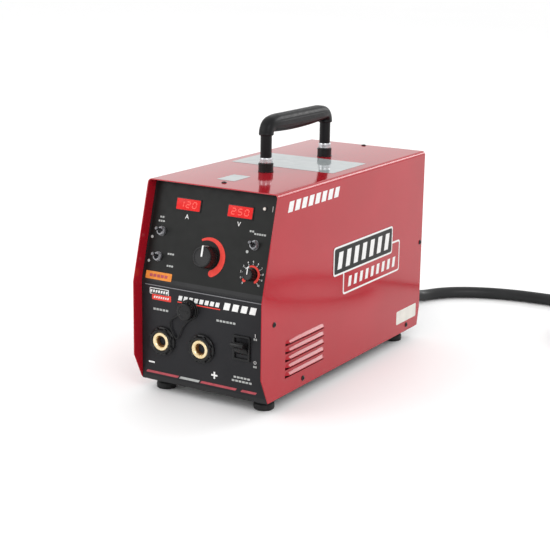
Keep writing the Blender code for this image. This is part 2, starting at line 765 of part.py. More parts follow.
def build_socket(name, spot):
    """A quick-connect weld socket: the moulded housing and the brass insert in it."""
    bore = SOCKET_INSERT_RADIUS + CLEARANCE
    back = SOCKET_BODY_RADIUS * 1.25
    flange = SOCKET_RIM * 0.55
    housing = [
        (bore, -back),
        (SOCKET_BODY_RADIUS, -back),
        (SOCKET_BODY_RADIUS, CLEARANCE),
        (SOCKET_HOUSING_RADIUS, CLEARANCE),
        (SOCKET_HOUSING_RADIUS, flange),
        (SOCKET_BODY_RADIUS, SOCKET_RIM),
        (bore, SOCKET_RIM),
    ]
    stud = 0.0045
    insert = [
        (0, -2 * back),
        (stud, -2 * back),
        (stud, -back - CAP_WALL),
        (SOCKET_INSERT_RADIUS, -back - CAP_WALL),
        (SOCKET_INSERT_RADIUS, SOCKET_BRASS_FACE),
        (SOCKET_BORE, SOCKET_BRASS_FACE),
        (SOCKET_BORE, 2 * CAP_WALL - back),
        (0, 2 * CAP_WALL - back),
    ]
    ring = turned(housing, 28, ring=True)
    solid("socket_housing_" + name, ring, black_plastic(), on_front(*spot))
    solid("socket_insert_" + name, turned(insert, 28), brass(), on_front(*spot))


def build_receptacle():
    """The remote control's socket, its turn-on dust cap and the lanyard behind the cap."""
    pin_well = RECEPTACLE_RADIUS - CAP_WALL
    barrel = [
        (0, -CONTROL_DEPTH),
        (RECEPTACLE_RADIUS, -CONTROL_DEPTH),
        (RECEPTACLE_RADIUS, CLEARANCE),
        (RECEPTACLE_FLANGE_RADIUS, CLEARANCE),
        (RECEPTACLE_FLANGE_RADIUS, RECEPTACLE_FLANGE),
        (RECEPTACLE_RADIUS, RECEPTACLE_FLANGE),
        (RECEPTACLE_RADIUS, RECEPTACLE_REACH),
        (pin_well, RECEPTACLE_REACH),
        (pin_well, RECEPTACLE_FLANGE),
        (0, RECEPTACLE_FLANGE),
    ]
    solid("remote_receptacle", turned(barrel, 20), aluminium(), on_front(*RECEPTACLE))
    inner = RECEPTACLE_RADIUS + CLEARANCE
    outer = inner + CAP_WALL
    low = RECEPTACLE_FLANGE + 2 * LANYARD_RADIUS + 3 * CLEARANCE
    cap = [
        (0, RECEPTACLE_REACH + CLEARANCE),
        (inner, RECEPTACLE_REACH + CLEARANCE),
        (inner, low),
        (outer, low),
        (outer, CAP_FACE - CAP_WALL / 2),
        (outer - CAP_WALL / 2, CAP_FACE),
        (0, CAP_FACE),
    ]
    solid("receptacle_cap", turned(cap, 24), black_plastic(), on_front(*RECEPTACLE))
    build_lanyard()


def build_lanyard():
    """A closed loop of thin cable: round the receptacle's barrel, then hanging from it."""
    around = RECEPTACLE_RADIUS + 1.5 * LANYARD_RADIUS + CLEARANCE
    out = RECEPTACLE_FLANGE + LANYARD_RADIUS + CLEARANCE
    points = []
    for step in range(9):
        angle = radians(-60 + 32 * step)
        points.append((around * cos(angle), around * sin(angle), out))
    points += [
        (-0.0200, -0.0120, out),
        (-0.0290, -0.0180, out),
        (-0.0330, -0.0250, out),
        (-0.0310, -0.0330, out),
        (-0.0265, -0.0410, out),
        (-0.0225, -0.0460, out),
        (-0.0180, -0.0440, out),
        (-0.0140, -0.0350, out),
        (-0.0090, -0.0260, out),
        (-0.0020, -0.0180, out),
    ]
    tube("cap_lanyard", points, LANYARD_RADIUS, 0.0038, grey_cord(), on_front(*RECEPTACLE), True)


def build_switch():
    """The power switch: a flanged box with a window, and the paddle that rocks in it."""
    width = SWITCH_WIDTH - SWITCH_WALL
    height = SWITCH_HEIGHT - SWITCH_WALL
    spot = on_front(*SWITCH)
    deep = SWITCH_DEPTH + SWITCH_FLANGE
    inner = block((0, 0, SWITCH_FLANGE - deep / 2), (width, height, deep))
    body = solid("power_switch_body", inner, black_plastic(), spot, smooth=False)
    thick = SWITCH_FLANGE + CLEARANCE
    flange = rounded_box_outline(SWITCH_WIDTH / 2, SWITCH_HEIGHT / 2, 0.002)
    join(body, prism(flange, CLEARANCE, thick), spot)
    window = (SWITCH_WIDTH - 2 * SWITCH_WALL, SWITCH_HEIGHT - 2 * SWITCH_WALL)
    reach = thick + SWITCH_DEPTH - CAP_WALL
    cut(body, block((0, 0, thick - reach / 2), (*window, reach)), spot)
    paddle_width = window[0] / 2 - CLEARANCE
    outline = []
    for step in range(13):
        angle = radians(25) + 2 * pi * (1 - 50 / 360) * step / 12
        outline.append((PADDLE_DRUM * cos(angle), PADDLE_DRUM * sin(angle)))
    outline += [
        (PADDLE_REACH * 0.90, -0.0030),
        (PADDLE_REACH, -0.0018),
        (PADDLE_REACH, 0.0018),
        (PADDLE_REACH * 0.90, 0.0030),
    ]
    # The paddle's outline lies across its axle: local X is out of the panel, local Y is up.
    axle = spot @ Matrix.Translation((0, 0, -PADDLE_PIVOT))
    axle = axle @ Matrix.Rotation(-SWITCH_TILT, 4, "X")
    axle = axle @ place((0, 0, 0), (0, 0, 1), (0, 1, 0))
    paddle = prism(outline, -paddle_width, paddle_width)
    solid("power_switch_paddle", paddle, black_plastic(), axle)


# ================================================================ inside the case
def build_fan():
    spot = on_rear(0, FAN_HEIGHT)
    outer_face = -SHEET - CLEARANCE
    inner_face = outer_face - FAN_DEPTH
    shell = block((0, 0, (outer_face + inner_face) / 2), (FAN_SIZE, FAN_SIZE, FAN_DEPTH))
    frame = solid("fan_frame", shell, black_plastic(), spot, smooth=False)
    cut(frame, rod(FAN_BORE, inner_face - FAN_DEPTH, FAN_DEPTH, 32), spot)
    mount = inner_face + FAN_MOUNT_DEPTH
    strut = (2 * FAN_BORE + FAN_MOUNT_DEPTH, FAN_MOUNT_DEPTH, FAN_MOUNT_DEPTH - 2 * CLEARANCE)
    for angle in (pi / 4, 3 * pi / 4):
        turned_spot = spot @ Matrix.Rotation(angle, 4, "Z")
        join(frame, block((0, 0, (inner_face + mount) / 2), strut), turned_spot)
    shaft_end = outer_face - FAN_DEPTH / 3
    axle = [
        (0, inner_face),
        (FAN_HUB_RADIUS * 0.9, inner_face),
        (FAN_HUB_RADIUS * 0.9, mount),
        (FAN_SHAFT, mount),
        (FAN_SHAFT, shaft_end),
        (0, shaft_end),
    ]
    join(frame, turned(axle, 24), spot)
    low = mount + CLEARANCE
    high = outer_face - 3 * CLEARANCE
    bore = FAN_SHAFT + CLEARANCE
    hub = [
        (0, shaft_end + CLEARANCE),
        (bore, shaft_end + CLEARANCE),
        (bore, low),
        (FAN_HUB_RADIUS, low),
        (FAN_HUB_RADIUS, high),
        (0, high),
    ]
    rotor = solid("fan_rotor", turned(hub, 20), black_plastic(), spot)
    reach = FAN_BORE - 0.002
    root = FAN_HUB_RADIUS * 0.8
    blade_size = (reach - root, 0.0018, (high - low) * 0.86)
    for blade in range(FAN_BLADES):
        turn = Matrix.Rotation(2 * pi * blade / FAN_BLADES, 4, "Z")
        pitch = Matrix.Rotation(radians(38), 4, "X")
        middle = Matrix.Translation(((reach + root) / 2, 0, (low + high) / 2))
        join(rotor, block((0, 0, 0), blade_size), spot @ turn @ middle @ pitch)


def build_fan_guard():
    """Rings on two crossed bars, in front of the fan's opening."""
    spot = on_rear(0, FAN_HEIGHT)
    low = CLEARANCE
    high = CLEARANCE + GUARD_WIRE
    guard = None
    for radius in (FAN_BORE + GUARD_WIRE / 2, *GUARD_RINGS):
        inner = radius - GUARD_WIRE / 2
        outer = radius + GUARD_WIRE / 2
        ring = turned([(inner, low), (outer, low), (outer, high), (inner, high)], 24, ring=True)
        if guard is None:
            guard = solid("fan_guard", ring, bright_steel(), spot)
            for angle in (pi / 4, 3 * pi / 4):
                bar = (2 * FAN_BORE + GUARD_WIRE, GUARD_WIRE, GUARD_WIRE - 2 * CLEARANCE)
                bar_spot = spot @ Matrix.Rotation(angle, 4, "Z")
                join(guard, block((0, 0, (low + high) / 2), bar), bar_spot)
        else:
            join(guard, ring, spot)


def build_heat_sink():
    """Fins standing on the pan's floor under a plate; the power board lies on the plate."""
    half = SINK_WIDTH / 2
    plate = PAN_FLOOR + SINK_HEIGHT - SINK_PLATE
    gap = (SINK_WIDTH - SINK_FINS * SINK_FIN) / (SINK_FINS - 1)
    outline = [(half, PAN_FLOOR + SINK_HEIGHT), (-half, PAN_FLOOR + SINK_HEIGHT)]
    for fin in range(SINK_FINS):
        left = -half + fin * (SINK_FIN + gap)
        outline += [(left, PAN_FLOOR), (left + SINK_FIN, PAN_FLOOR)]
        if fin < SINK_FINS - 1:
            outline += [(left + SINK_FIN, plate), (left + SINK_FIN + gap, plate)]
    low = -SINK_MIDDLE - SINK_LENGTH / 2
    fins = prism(outline, low, low + SINK_LENGTH)
    solid("heat_sink", fins, aluminium(), ACROSS_DEPTH, smooth=False)


def build_power_board():
    """The power board on the heat sink, with the storage capacitors and the rectifier."""
    low = PAN_FLOOR + SINK_HEIGHT + CLEARANCE
    size = (SINK_WIDTH - 2 * BOARD_MARGIN, SINK_LENGTH - 2 * BOARD_MARGIN, BOARD_THICKNESS)
    board = block((0, SINK_MIDDLE, low + BOARD_THICKNESS / 2), size)
    solid("power_board", board, circuit_board(), smooth=False)
    on_board = low + BOARD_THICKNESS + CLEARANCE
    for number in range(3):
        along = SINK_MIDDLE + (number - 1) * CAPACITOR_SPACING
        can = rod(CAPACITOR_RADIUS, 0, CAPACITOR_HEIGHT, 24)
        spot = upright(-SINK_WIDTH / 4, along, on_board)
        solid("capacitor_" + str(number + 1), can, black_plastic(), spot)
    middle = (SINK_WIDTH / 4, SINK_MIDDLE, on_board + RECTIFIER_SIZE[2] / 2)
    solid("input_rectifier", block(middle, RECTIFIER_SIZE), black_plastic(), smooth=False)


def build_control_board():
    """The board behind the leaning panel, carried by the controls soldered to it."""
    width = 2 * (INNER_HALF_WIDTH - CONTROL_BOARD_MARGIN)
    height = SLOPE_LENGTH - 2 * CONTROL_BOARD_MARGIN
    face = -CONTROL_DEPTH - CLEARANCE
    slab = block((0, SLOPE_LENGTH / 2, face - BOARD_THICKNESS / 2), (width, height, BOARD_THICKNESS))
    solid("control_board", slab, circuit_board(), on_slope(0, 0), smooth=False)


def build_transformer():
    """The main transformer: a core with two windows and the winding round its middle leg."""
    width, deep, height = CORE_SIZE
    window_width, window_height = CORE_WINDOW
    x, y = CORE_PLACE
    spot = upright(x, y, PAN_FLOOR + height / 2)
    core = solid("transformer_core", block((0, 0, 0), CORE_SIZE), ferrite(), spot, smooth=False)
    leg = width / 2 - window_width * 1.5
    for side in (-1, 1):
        middle = (side * (leg + window_width) / 2, 0, 0)
        cut(core, block(middle, (window_width, 2 * deep, window_height)), spot)
    inner = (leg + 2 * CLEARANCE, deep + 2 * CLEARANCE)
    outer = (inner[0] + 2 * WINDING_WALL, inner[1] + 2 * WINDING_WALL)
    tall = window_height - 2 * CLEARANCE
    ring = solid("transformer_winding", block((0, 0, 0), (*outer, tall)), copper(), spot, smooth=False)
    cut(ring, block((0, 0, 0), (*inner, 2 * tall)), spot)


def build_choke():
    profile = [
        (CHOKE_INNER, 0),
        (CHOKE_OUTER, 0),
        (CHOKE_OUTER, CHOKE_HEIGHT),
        (CHOKE_INNER, CHOKE_HEIGHT),
    ]
    spot = upright(*CHOKE_PLACE, PAN_FLOOR)
    solid("output_choke", turned(profile, 24, ring=True), copper(), spot)


# ================================================================ the mains cord
def smooth_path(points, spacing, closed):
    """Evenly spaced places on a smooth curve through the given points."""
    knots = [Vector(point) for point in points]
    if closed:
        knots = [knots[-1]] + knots + knots[:2]
    else:
        knots = [2 * knots[0] - knots[1]] + knots + [2 * knots[-1] - knots[-2]]
    fine = [knots[1]]
    for before, start, end, after in zip(knots, knots[1:], knots[2:], knots[3:]):
        handle_one = start + (end - before) / 6
        handle_two = end - (after - start) / 6
        fine += interpolate_bezier(start, handle_one, handle_two, end, 17)[1:]
    lengths = [0.0]
    for one, two in zip(fine, fine[1:]):
        lengths.append(lengths[-1] + (two - one).length)
    count = round(lengths[-1] / spacing)
    path = []
    place_in_list = 0
    for step in range(count + 1):
        wanted = lengths[-1] * step / count
        while lengths[place_in_list + 1] < wanted - 1e-9:
            place_in_list += 1
        span = lengths[place_in_list + 1] - lengths[place_in_list]
        share = (wanted - lengths[place_in_list]) / span
        path.append(fine[place_in_list].lerp(fine[place_in_list + 1], share))
    return path[:-1] if closed else path


def tube(name, points, radius, spacing, finish, matrix=None, closed=False):
    """A round tube along a smooth curve through the points."""
    path = smooth_path(points, spacing, closed)
    curve = bpy.data.curves.new(name, "CURVE")
    curve.dimensions = "3D"
    spline = curve.splines.new("POLY")
    spline.points.add(len(path) - 1)
    for point, spot in zip(spline.points, path):
        point.co = (*spot, 1.0)
    spline.use_cyclic_u = closed
    curve.bevel_depth = radius
    curve.bevel_resolution = 1 if closed else 2
    curve.use_fill_caps = True
    curve.materials.append(finish)
    made = bpy.data.objects.new(name, curve)
    bpy.context.scene.collection.objects.link(made)
    if matrix is not None:
        made.matrix_world = matrix
    return made


def from_rear(route):
    """World places for a route given behind the case's rear edge and above the floor."""
    return [(x, REAR + behind, LYING + lift) for x, behind, lift in route]


def build_cord():
    gland = [
        (0, -GLAND_SHANK),
        (GLAND_SHANK, -GLAND_SHANK),
        (GLAND_SHANK, CLEARANCE),
        (GLAND_RADIUS, CLEARANCE),
        (GLAND_RADIUS, GLAND_LENGTH / 4),
        (GLAND_SHANK * 1.1, GLAND_LENGTH / 3),
        (CORD_RADIUS * 1.12, GLAND_LENGTH),
        (0, GLAND_LENGTH),
    ]
    spot = on_rear(GLAND_ACROSS, GLAND_HEIGHT)
    solid("cord_gland", turned(gland, 20), black_rubber(), spot)
    tube("power_cord", from_rear(CORD_ROUTE), CORD_RADIUS, CORD_SPACING, black_rubber())
    tube("cord_tail", from_rear(TAIL_ROUTE), CORD_RADIUS, CORD_SPACING, black_rubber())
    corner = CORD_RADIUS * 0.6
    inner = COIL_RADIUS - CORD_RADIUS
    outer = COIL_RADIUS + CORD_RADIUS
    high = 2 * CORD_RADIUS * COIL_LAYERS
    coil = [
        (inner + corner, CLEARANCE),
        (outer - corner, CLEARANCE),
        (outer, corner),
        (outer, high - corner),
        (outer - corner, high),
        (inner + corner, high),
        (inner, high - corner),
        (inner, corner),
    ]
    middle = upright(COIL_CENTRE[0], REAR + COIL_CENTRE[1], 0)
    solid("cord_coil", turned(coil, 36, ring=True), black_rubber(), middle)
    build_plug()


def build_plug():
    """The plug lying on the floor at the cord's free end, its pins pointing forwards."""
    x, behind, lift = TAIL_ROUTE[-1]
    start = (x, REAR + behind - CLEARANCE, LYING + lift)
    spot = place(start, (1, 0, 0), (0, 0, 1))
    face = PLUG_NECK + PLUG_BODY
    edge = 0.002
    profile = [
        (0, 0),
        (CORD_RADIUS * 1.12, 0),
        (CORD_RADIUS * 1.4, PLUG_NECK),
        (PLUG_RADIUS - 2 * edge, PLUG_NECK + 2 * edge),
        (PLUG_RADIUS - edge, face * 0.6),
        (PLUG_RADIUS - edge, face - edge),
        (PLUG_RADIUS - 2 * edge, face),
        (0, face),
    ]
    plug = solid("cord_plug", turned(profile, 24), black_rubber(), spot)
    for side in (-1, 1):
        blade = block((side * 0.0095, 0.004, face + 0.008), (0.0018, 0.0075, 0.022))
        join(plug, blade, spot)
    join(plug, rod(0.0032, face - 0.004, face + 0.021, 16), spot @ Matrix.Translation((0, -0.011, 0)))


def build():
    for old in list(bpy.data.objects):
        bpy.data.objects.remove(old)
    build_cover()
    build_base_pan()
    build_front_panel()
    build_rear_panel()
    build_feet()
    build_handle()
    build_potentiometer("output_potentiometer", OUTPUT_KNOB, KNOB_HEIGHT)
    build_knob("output_knob", OUTPUT_KNOB, KNOB_RADIUS, KNOB_HEIGHT)
    build_potentiometer("force_potentiometer", FORCE_KNOB, FORCE_KNOB_HEIGHT)
    build_knob("force_knob", FORCE_KNOB, FORCE_KNOB_RADIUS, FORCE_KNOB_HEIGHT)
    for name, spot in TOGGLES.items():
        build_toggle(name, spot)
    for name, spot in DISPLAYS.items():
        build_display(name, spot)
    build_lamp()
    for name, spot in SOCKETS.items():
        build_socket(name, spot)
    build_receptacle()
    build_switch()
    build_fan()
    build_fan_guard()
    build_heat_sink()
    build_power_board()
    build_control_board()
    build_transformer()
    build_choke()
    build_cord()


build()
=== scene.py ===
# %% [markdown]
# # A portable stick welder
# The solids of the machine are already made and packed: they say where every part is and how it
# moves. This lesson dresses them. Each step makes one piece, or one finish, in the place the
# solids give, and hangs it on the body that carries it.

# %% Load the frame
import json
from math import atan2, cos, pi, radians, sin, tan

import bmesh
import bpy
from mathutils import Matrix, Vector
from mathutils.geometry import interpolate_bezier


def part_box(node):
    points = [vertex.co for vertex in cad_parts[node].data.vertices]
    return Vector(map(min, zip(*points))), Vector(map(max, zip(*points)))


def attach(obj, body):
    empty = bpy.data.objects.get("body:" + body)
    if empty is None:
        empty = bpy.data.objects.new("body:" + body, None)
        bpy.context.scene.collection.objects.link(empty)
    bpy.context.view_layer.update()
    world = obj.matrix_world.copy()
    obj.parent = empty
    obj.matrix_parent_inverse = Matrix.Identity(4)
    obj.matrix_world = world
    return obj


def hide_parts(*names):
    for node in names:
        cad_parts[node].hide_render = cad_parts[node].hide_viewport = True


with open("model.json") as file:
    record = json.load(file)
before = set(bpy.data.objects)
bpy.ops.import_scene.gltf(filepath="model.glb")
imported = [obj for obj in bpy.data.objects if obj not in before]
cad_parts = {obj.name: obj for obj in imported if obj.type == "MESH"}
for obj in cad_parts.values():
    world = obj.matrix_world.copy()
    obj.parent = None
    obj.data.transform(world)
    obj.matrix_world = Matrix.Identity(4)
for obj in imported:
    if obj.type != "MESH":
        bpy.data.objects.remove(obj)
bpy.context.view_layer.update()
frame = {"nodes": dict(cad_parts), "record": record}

joints = {joint["name"]: joint for joint in frame["record"]["behaviour"]["joints"]}

# %% [markdown]
# ## Where things are
# The front panel is one bent sheet: upright below, leaning back above the crease. Every control
# is easier to place in the panel's own directions: across, up along it, and out of it. A matrix
# whose columns are those three directions does that, and the lean is read from the knob's axis.

# %% The panel's own directions
CLEARANCE = 0.0003
SHEET = 0.0015

cover_low, cover_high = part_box("cover")
panel_low, panel_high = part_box("front_panel")
HOOD_PROUD = 0.0030
CASE_HALF = cover_high.x - HOOD_PROUD
FRONT, REAR = cover_low.y, cover_high.y
BOTTOM, TOP = cover_low.z, cover_high.z
FACE = panel_low.y
INNER_HALF = panel_high.x

knob_axis = Vector(joints["output_knob_turn"]["axis"])
knob_place = Vector(joints["output_knob_turn"]["pos_m"])
LEAN = atan2(knob_axis.z, -knob_axis.y)
CREASE = knob_place.z - (knob_place.y - FACE) / tan(LEAN)
SLOPE = (panel_high.z - CREASE) / cos(LEAN)
print("lean", round(LEAN * 180 / pi, 2), "crease", round(CREASE, 4), "slope", round(SLOPE, 4))


def place(origin, right, up):
    """A matrix whose X, Y and Z are right, up and straight out of a face."""
    right = Vector(right).normalized()
    up = Vector(up).normalized()
    matrix = Matrix((right, up, right.cross(up))).transposed().to_4x4()
    matrix.translation = Vector(origin)
    return matrix


def on_slope(across, along):
    """A place on the leaning half: across from the middle, and up from the crease."""
    up = Vector((0, sin(LEAN), cos(LEAN)))
    origin = Vector((across, FACE, CREASE)) + up * along
    return place(origin, (1, 0, 0), up)


def on_front(across, height):
    """A place on the upright half: across from the middle, and up from the cover's edge."""
    return place((across, FACE, BOTTOM + height), (1, 0, 0), (0, 0, 1))


# %% [markdown]
# ## The camera
# The machine is seen from its right front corner, a little from above, from about two metres
# away. A long lens keeps the case's edges nearly parallel. A small roll leans the whole view.

# %% Camera
CAMERA_AT = Vector((1.0647, -1.7884, 0.6741))
LOOKS_AT = Vector((0.0091, -0.0525, 0.1550))
CAMERA_ROLL = radians(0.84)

away = (CAMERA_AT - LOOKS_AT).normalized()
level = Vector((0, 0, 1)).cross(away).normalized()
camera_right = level * cos(CAMERA_ROLL) + away.cross(level) * sin(CAMERA_ROLL)
camera_data = bpy.data.cameras.new("camera")
camera_data.lens = 89.4
camera_data.sensor_width = 36.0
camera_data.clip_end = 200
camera = bpy.data.objects.new("camera", camera_data)
bpy.context.scene.collection.objects.link(camera)
camera.matrix_world = place(CAMERA_AT, camera_right, away.cross(camera_right))
bpy.context.scene.camera = camera
print("camera distance", round((CAMERA_AT - LOOKS_AT).length, 3))

# %% [markdown]
# ## Floor and light
# A glossy case shows its surroundings more than its own colour, so the studio matters: a white
# floor and sky, one soft light from the right front, a weaker one from the left for the black
# panels, and a bright panel behind the machine, whose mirror image runs along the cover's bend
# and louvres as bright lines. The cover's top mirrors the pale sky.


# %% Floor and light
def soft_light(name, at, width, height, power):
    data = bpy.data.lights.new(name, "AREA")
    data.shape = "RECTANGLE"
    data.size = width
    data.size_y = height
    data.energy = power
    lamp = bpy.data.objects.new(name, data)
    bpy.context.scene.collection.objects.link(lamp)
    lamp.location = at
    lamp.rotation_mode = "QUATERNION"
    lamp.rotation_quaternion = (Vector(at) - LOOKS_AT).to_track_quat("Z", "Y")


soft_light("key_light", (2.4, -2.2, 2.2), 1.4, 1.4, 26)
soft_light("fill_light", (-2.0, -2.4, 1.6), 2.0, 2.0, 24)
soft_light("narrow_panel", (2.0, 4.3, 2.25), 2.2, 1.5, 56)

world = bpy.data.worlds.new("studio")
world.use_nodes = True
world.node_tree.nodes["Background"].inputs["Color"].default_value = (1.0, 1.0, 1.0, 1)
world.node_tree.nodes["Background"].inputs["Strength"].default_value = 1.02
bpy.context.scene.world = world
bpy.context.scene.view_settings.view_transform = "Standard"

floor_mesh = bpy.data.meshes.new("floor")
reach = 40
corners = [(-reach, -reach, 0), (reach, -reach, 0), (reach, reach, 0), (-reach, reach, 0)]
floor_mesh.from_pydata(corners, [], [(0, 1, 2, 3)])
floor = bpy.data.objects.new("floor", floor_mesh)
bpy.context.scene.collection.objects.link(floor)

# %% [markdown]
# ## Finishes
# Every finish is a Principled shader fed by noise on Object coordinates, so it stays put on its
# piece. A broad noise moves the colour a little, a finer one moves the roughness, and the finest
# makes the bump. What differs from one finish to the next is their size and strength.


# %% A maker of finishes
def link(tree, start, end):
    tree.links.new(start, end)


def noise(tree, scale, detail=3.0):
    """A noise texture on Object coordinates; returns its value output."""
    where = tree.nodes.new("ShaderNodeTexCoord")
    texture = tree.nodes.new("ShaderNodeTexNoise")
    texture.inputs["Scale"].default_value = scale
    texture.inputs["Detail"].default_value = detail
    link(tree, where.outputs["Object"], texture.inputs["Vector"])
    return texture.outputs["Fac"]


# Nearly all of a noise's values lie between these two.
NOISE_LOW, NOISE_HIGH = 0.3, 0.7


def spread(tree, value, low, high):
    """A noise's values, stretched to run from low to high."""
    stretched = tree.nodes.new("ShaderNodeMapRange")
    stretched.inputs["From Min"].default_value = NOISE_LOW
    stretched.inputs["From Max"].default_value = NOISE_HIGH
    stretched.inputs["To Min"].default_value = low
    stretched.inputs["To Max"].default_value = high
    link(tree, value, stretched.inputs["Value"])
    return stretched.outputs["Result"]


def two_colours(tree, share, one, two):
    mixed = tree.nodes.new("ShaderNodeMix")
    mixed.data_type = "RGBA"
    mixed.inputs["A"].default_value = (*one, 1)
    mixed.inputs["B"].default_value = (*two, 1)
    link(tree, share, mixed.inputs["Factor"])
    return mixed.outputs["Result"]


def finish(name, one, two, patch, rough, grain, bump, metallic=0.0, **fixed):
    """one and two: its colours. patch: scale of their patches. rough: lowest and highest
    roughness. grain: scale of the fine bump, and bump its height in metres. fixed: other
    sockets, by name."""
    made = bpy.data.materials.new(name)
    made.use_nodes = True
    tree = made.node_tree
    shader = tree.nodes["Principled BSDF"]
    shader.inputs["Metallic"].default_value = metallic
    for socket, value in fixed.items():
        shader.inputs[socket.replace("_", " ")].default_value = value
    share = spread(tree, noise(tree, patch), 0, 1)
    link(tree, two_colours(tree, share, one, two), shader.inputs["Base Color"])
    link(tree, spread(tree, noise(tree, patch * 5), *rough), shader.inputs["Roughness"])
    raised = tree.nodes.new("ShaderNodeBump")
    raised.inputs["Distance"].default_value = bump
    raised.inputs["Strength"].default_value = 1.0
    link(tree, noise(tree, grain, 2.0), raised.inputs["Height"])
    link(tree, raised.outputs["Normal"], shader.inputs["Normal"])
    return made


# %% [markdown]
# The cover is powder coated: a deep red under a glossy skin with a faint orange peel. The coat
# gives the mirror, the base the colour.

# %% The case's finishes
red_coat = finish(
    "red_powder_coat", (0.385, 0.007, 0.017), (0.345, 0.006, 0.014), 9, (0.16, 0.24), 420, 0.00001,
    Specular_IOR_Level=0.0, Coat_Weight=1.0, Coat_Roughness=0.10, Coat_IOR=1.41,
)
black_coat = finish(
    "black_powder_coat", (0.009, 0.009, 0.010), (0.014, 0.014, 0.015), 14, (0.34, 0.48), 1500, 0.00006,
    Specular_IOR_Level=0.30,
)
panel_film = finish(
    "panel_film", (0.0070, 0.0075, 0.0070), (0.0100, 0.0105, 0.0100), 20, (0.30, 0.40), 2600, 0.00002,
    Specular_IOR_Level=0.16,
)
lower_film = finish(
    "lower_panel_film", (0.0125, 0.0125, 0.0145), (0.0165, 0.0165, 0.0185), 20, (0.34, 0.46), 2600, 0.00003,
    Specular_IOR_Level=0.18,
)
moulded_black = finish(
    "moulded_black", (0.0065, 0.0065, 0.0070), (0.0110, 0.0110, 0.0115), 60, (0.24, 0.36), 1800, 0.00003,
    Specular_IOR_Level=0.26,
)
grip_moulding = finish(
    "grip_moulding", (0.0030, 0.0031, 0.0038), (0.0055, 0.0057, 0.0068), 45, (0.34, 0.46), 1500, 0.00004,
    Specular_IOR_Level=0.20,
)
soft_black = finish(
    "soft_black_rubber", (0.0060, 0.0060, 0.0060), (0.0110, 0.0110, 0.0115), 40, (0.48, 0.66), 1300, 0.00007,
    Specular_IOR_Level=0.30,
)
cord_jacket = finish(
    "cord_jacket", (0.0075, 0.0080, 0.0085), (0.0135, 0.0140, 0.0150), 30, (0.36, 0.50), 900, 0.00005,
    Specular_IOR_Level=0.35,
)

# %% [markdown]
# The metals: turned brass in the sockets, plated steel on the switches, and the plain metals
# inside the case.

# %% Metals
turned_brass = finish(
    "turned_brass", (0.88, 0.74, 0.48), (0.78, 0.62, 0.36), 90, (0.20, 0.36), 2200, 0.00002, 1.0,
)
# The dark brown of the sockets' bores is painted shade: it stands in for the dark inside a deep bore.
bore_painted_shade = finish(
    "bore_painted_shade", (0.140, 0.055, 0.012), (0.085, 0.032, 0.008), 160, (0.30, 0.45), 1800, 0.00003,
)
plated_steel = finish(
    "plated_steel", (0.62, 0.62, 0.64), (0.48, 0.48, 0.50), 120, (0.18, 0.36), 2400, 0.00002, 1.0,
)
switch_steel = finish(
    "switch_steel", (0.235, 0.235, 0.245), (0.150, 0.150, 0.160), 150, (0.26, 0.42), 2400, 0.00003, 1.0,
)
plain_aluminium = finish(
    "plain_aluminium", (0.72, 0.73, 0.74), (0.62, 0.63, 0.64), 70, (0.30, 0.48), 1500, 0.00003, 1.0,
)
enamelled_copper = finish(
    "enamelled_copper", (0.62, 0.24, 0.10), (0.50, 0.17, 0.07), 80, (0.25, 0.40), 900, 0.00010, 0.8,
)
sintered_core = finish(
    "sintered_core", (0.045, 0.045, 0.050), (0.070, 0.068, 0.070), 90, (0.55, 0.75), 1600, 0.00008,
)
solder_mask = finish(
    "solder_mask", (0.012, 0.13, 0.050), (0.008, 0.09, 0.035), 260, (0.28, 0.45), 1400, 0.00005,
)

# %% [markdown]
# Inks are printed on film, so they are matt, even and a hair's breadth thick. The meter windows
# glow: red plastic with lit digits on it.

# %% Inks, windows and labels
white_ink = finish(
    "white_ink", (0.78, 0.78, 0.77), (0.70, 0.70, 0.69), 200, (0.45, 0.60), 2500, 0.00001,
)
grey_ink = finish(
    "grey_ink", (0.42, 0.43, 0.42), (0.34, 0.35, 0.34), 200, (0.45, 0.60), 2500, 0.00001,
    Specular_IOR_Level=0.2,
)
red_ink = finish(
    "red_ink", (0.74, 0.060, 0.045), (0.64, 0.048, 0.036), 160, (0.45, 0.60), 2500, 0.00001,
    Specular_IOR_Level=0.2,
)
orange_ink = finish(
    "orange_ink", (0.74, 0.26, 0.045), (0.62, 0.19, 0.030), 160, (0.40, 0.55), 2500, 0.00001,
    Specular_IOR_Level=0.2,
)
dark_red_ink = finish(
    "dark_red_ink", (0.42, 0.055, 0.070), (0.30, 0.035, 0.050), 160, (0.40, 0.55), 2500, 0.00001,
)
silver_label = finish(
    "silver_label", (0.42, 0.46, 0.46), (0.36, 0.40, 0.41), 60, (0.28, 0.42), 1800, 0.00001,
    Specular_IOR_Level=0.0, Coat_Weight=1.0, Coat_Roughness=0.05, Coat_IOR=1.45,
)
pale_label = finish(
    "pale_label", (0.72, 0.70, 0.64), (0.64, 0.62, 0.57), 70, (0.45, 0.60), 1800, 0.00002,
)
grey_keyline = finish(
    "grey_keyline", (0.19, 0.19, 0.20), (0.14, 0.14, 0.15), 120, (0.40, 0.55), 2500, 0.00001,
)
lit_window = finish(
    "lit_window", (0.62, 0.016, 0.014), (0.48, 0.010, 0.010), 150, (0.20, 0.32), 1200, 0.00001,
    Emission_Color=(0.80, 0.022, 0.020, 1), Emission_Strength=0.18, Specular_IOR_Level=0.2,
)
lit_digit = finish(
    "lit_digit", (0.80, 0.10, 0.08), (0.70, 0.08, 0.06), 150, (0.20, 0.30), 1200, 0.00001,
    Emission_Color=(1.0, 0.16, 0.12, 1), Emission_Strength=0.22, Specular_IOR_Level=0.2,
)
amber_lamp = finish(
    "amber_lamp", (0.75, 0.72, 0.66), (0.66, 0.62, 0.55), 150, (0.15, 0.25), 1200, 0.00001,
    Coat_Weight=0.5,
)
pale_floor = finish(
    "pale_floor", (0.98, 0.98, 0.98), (0.97, 0.97, 0.97), 0.8, (0.55, 0.65), 60, 0.00002,
)
floor_mesh.materials.append(pale_floor)

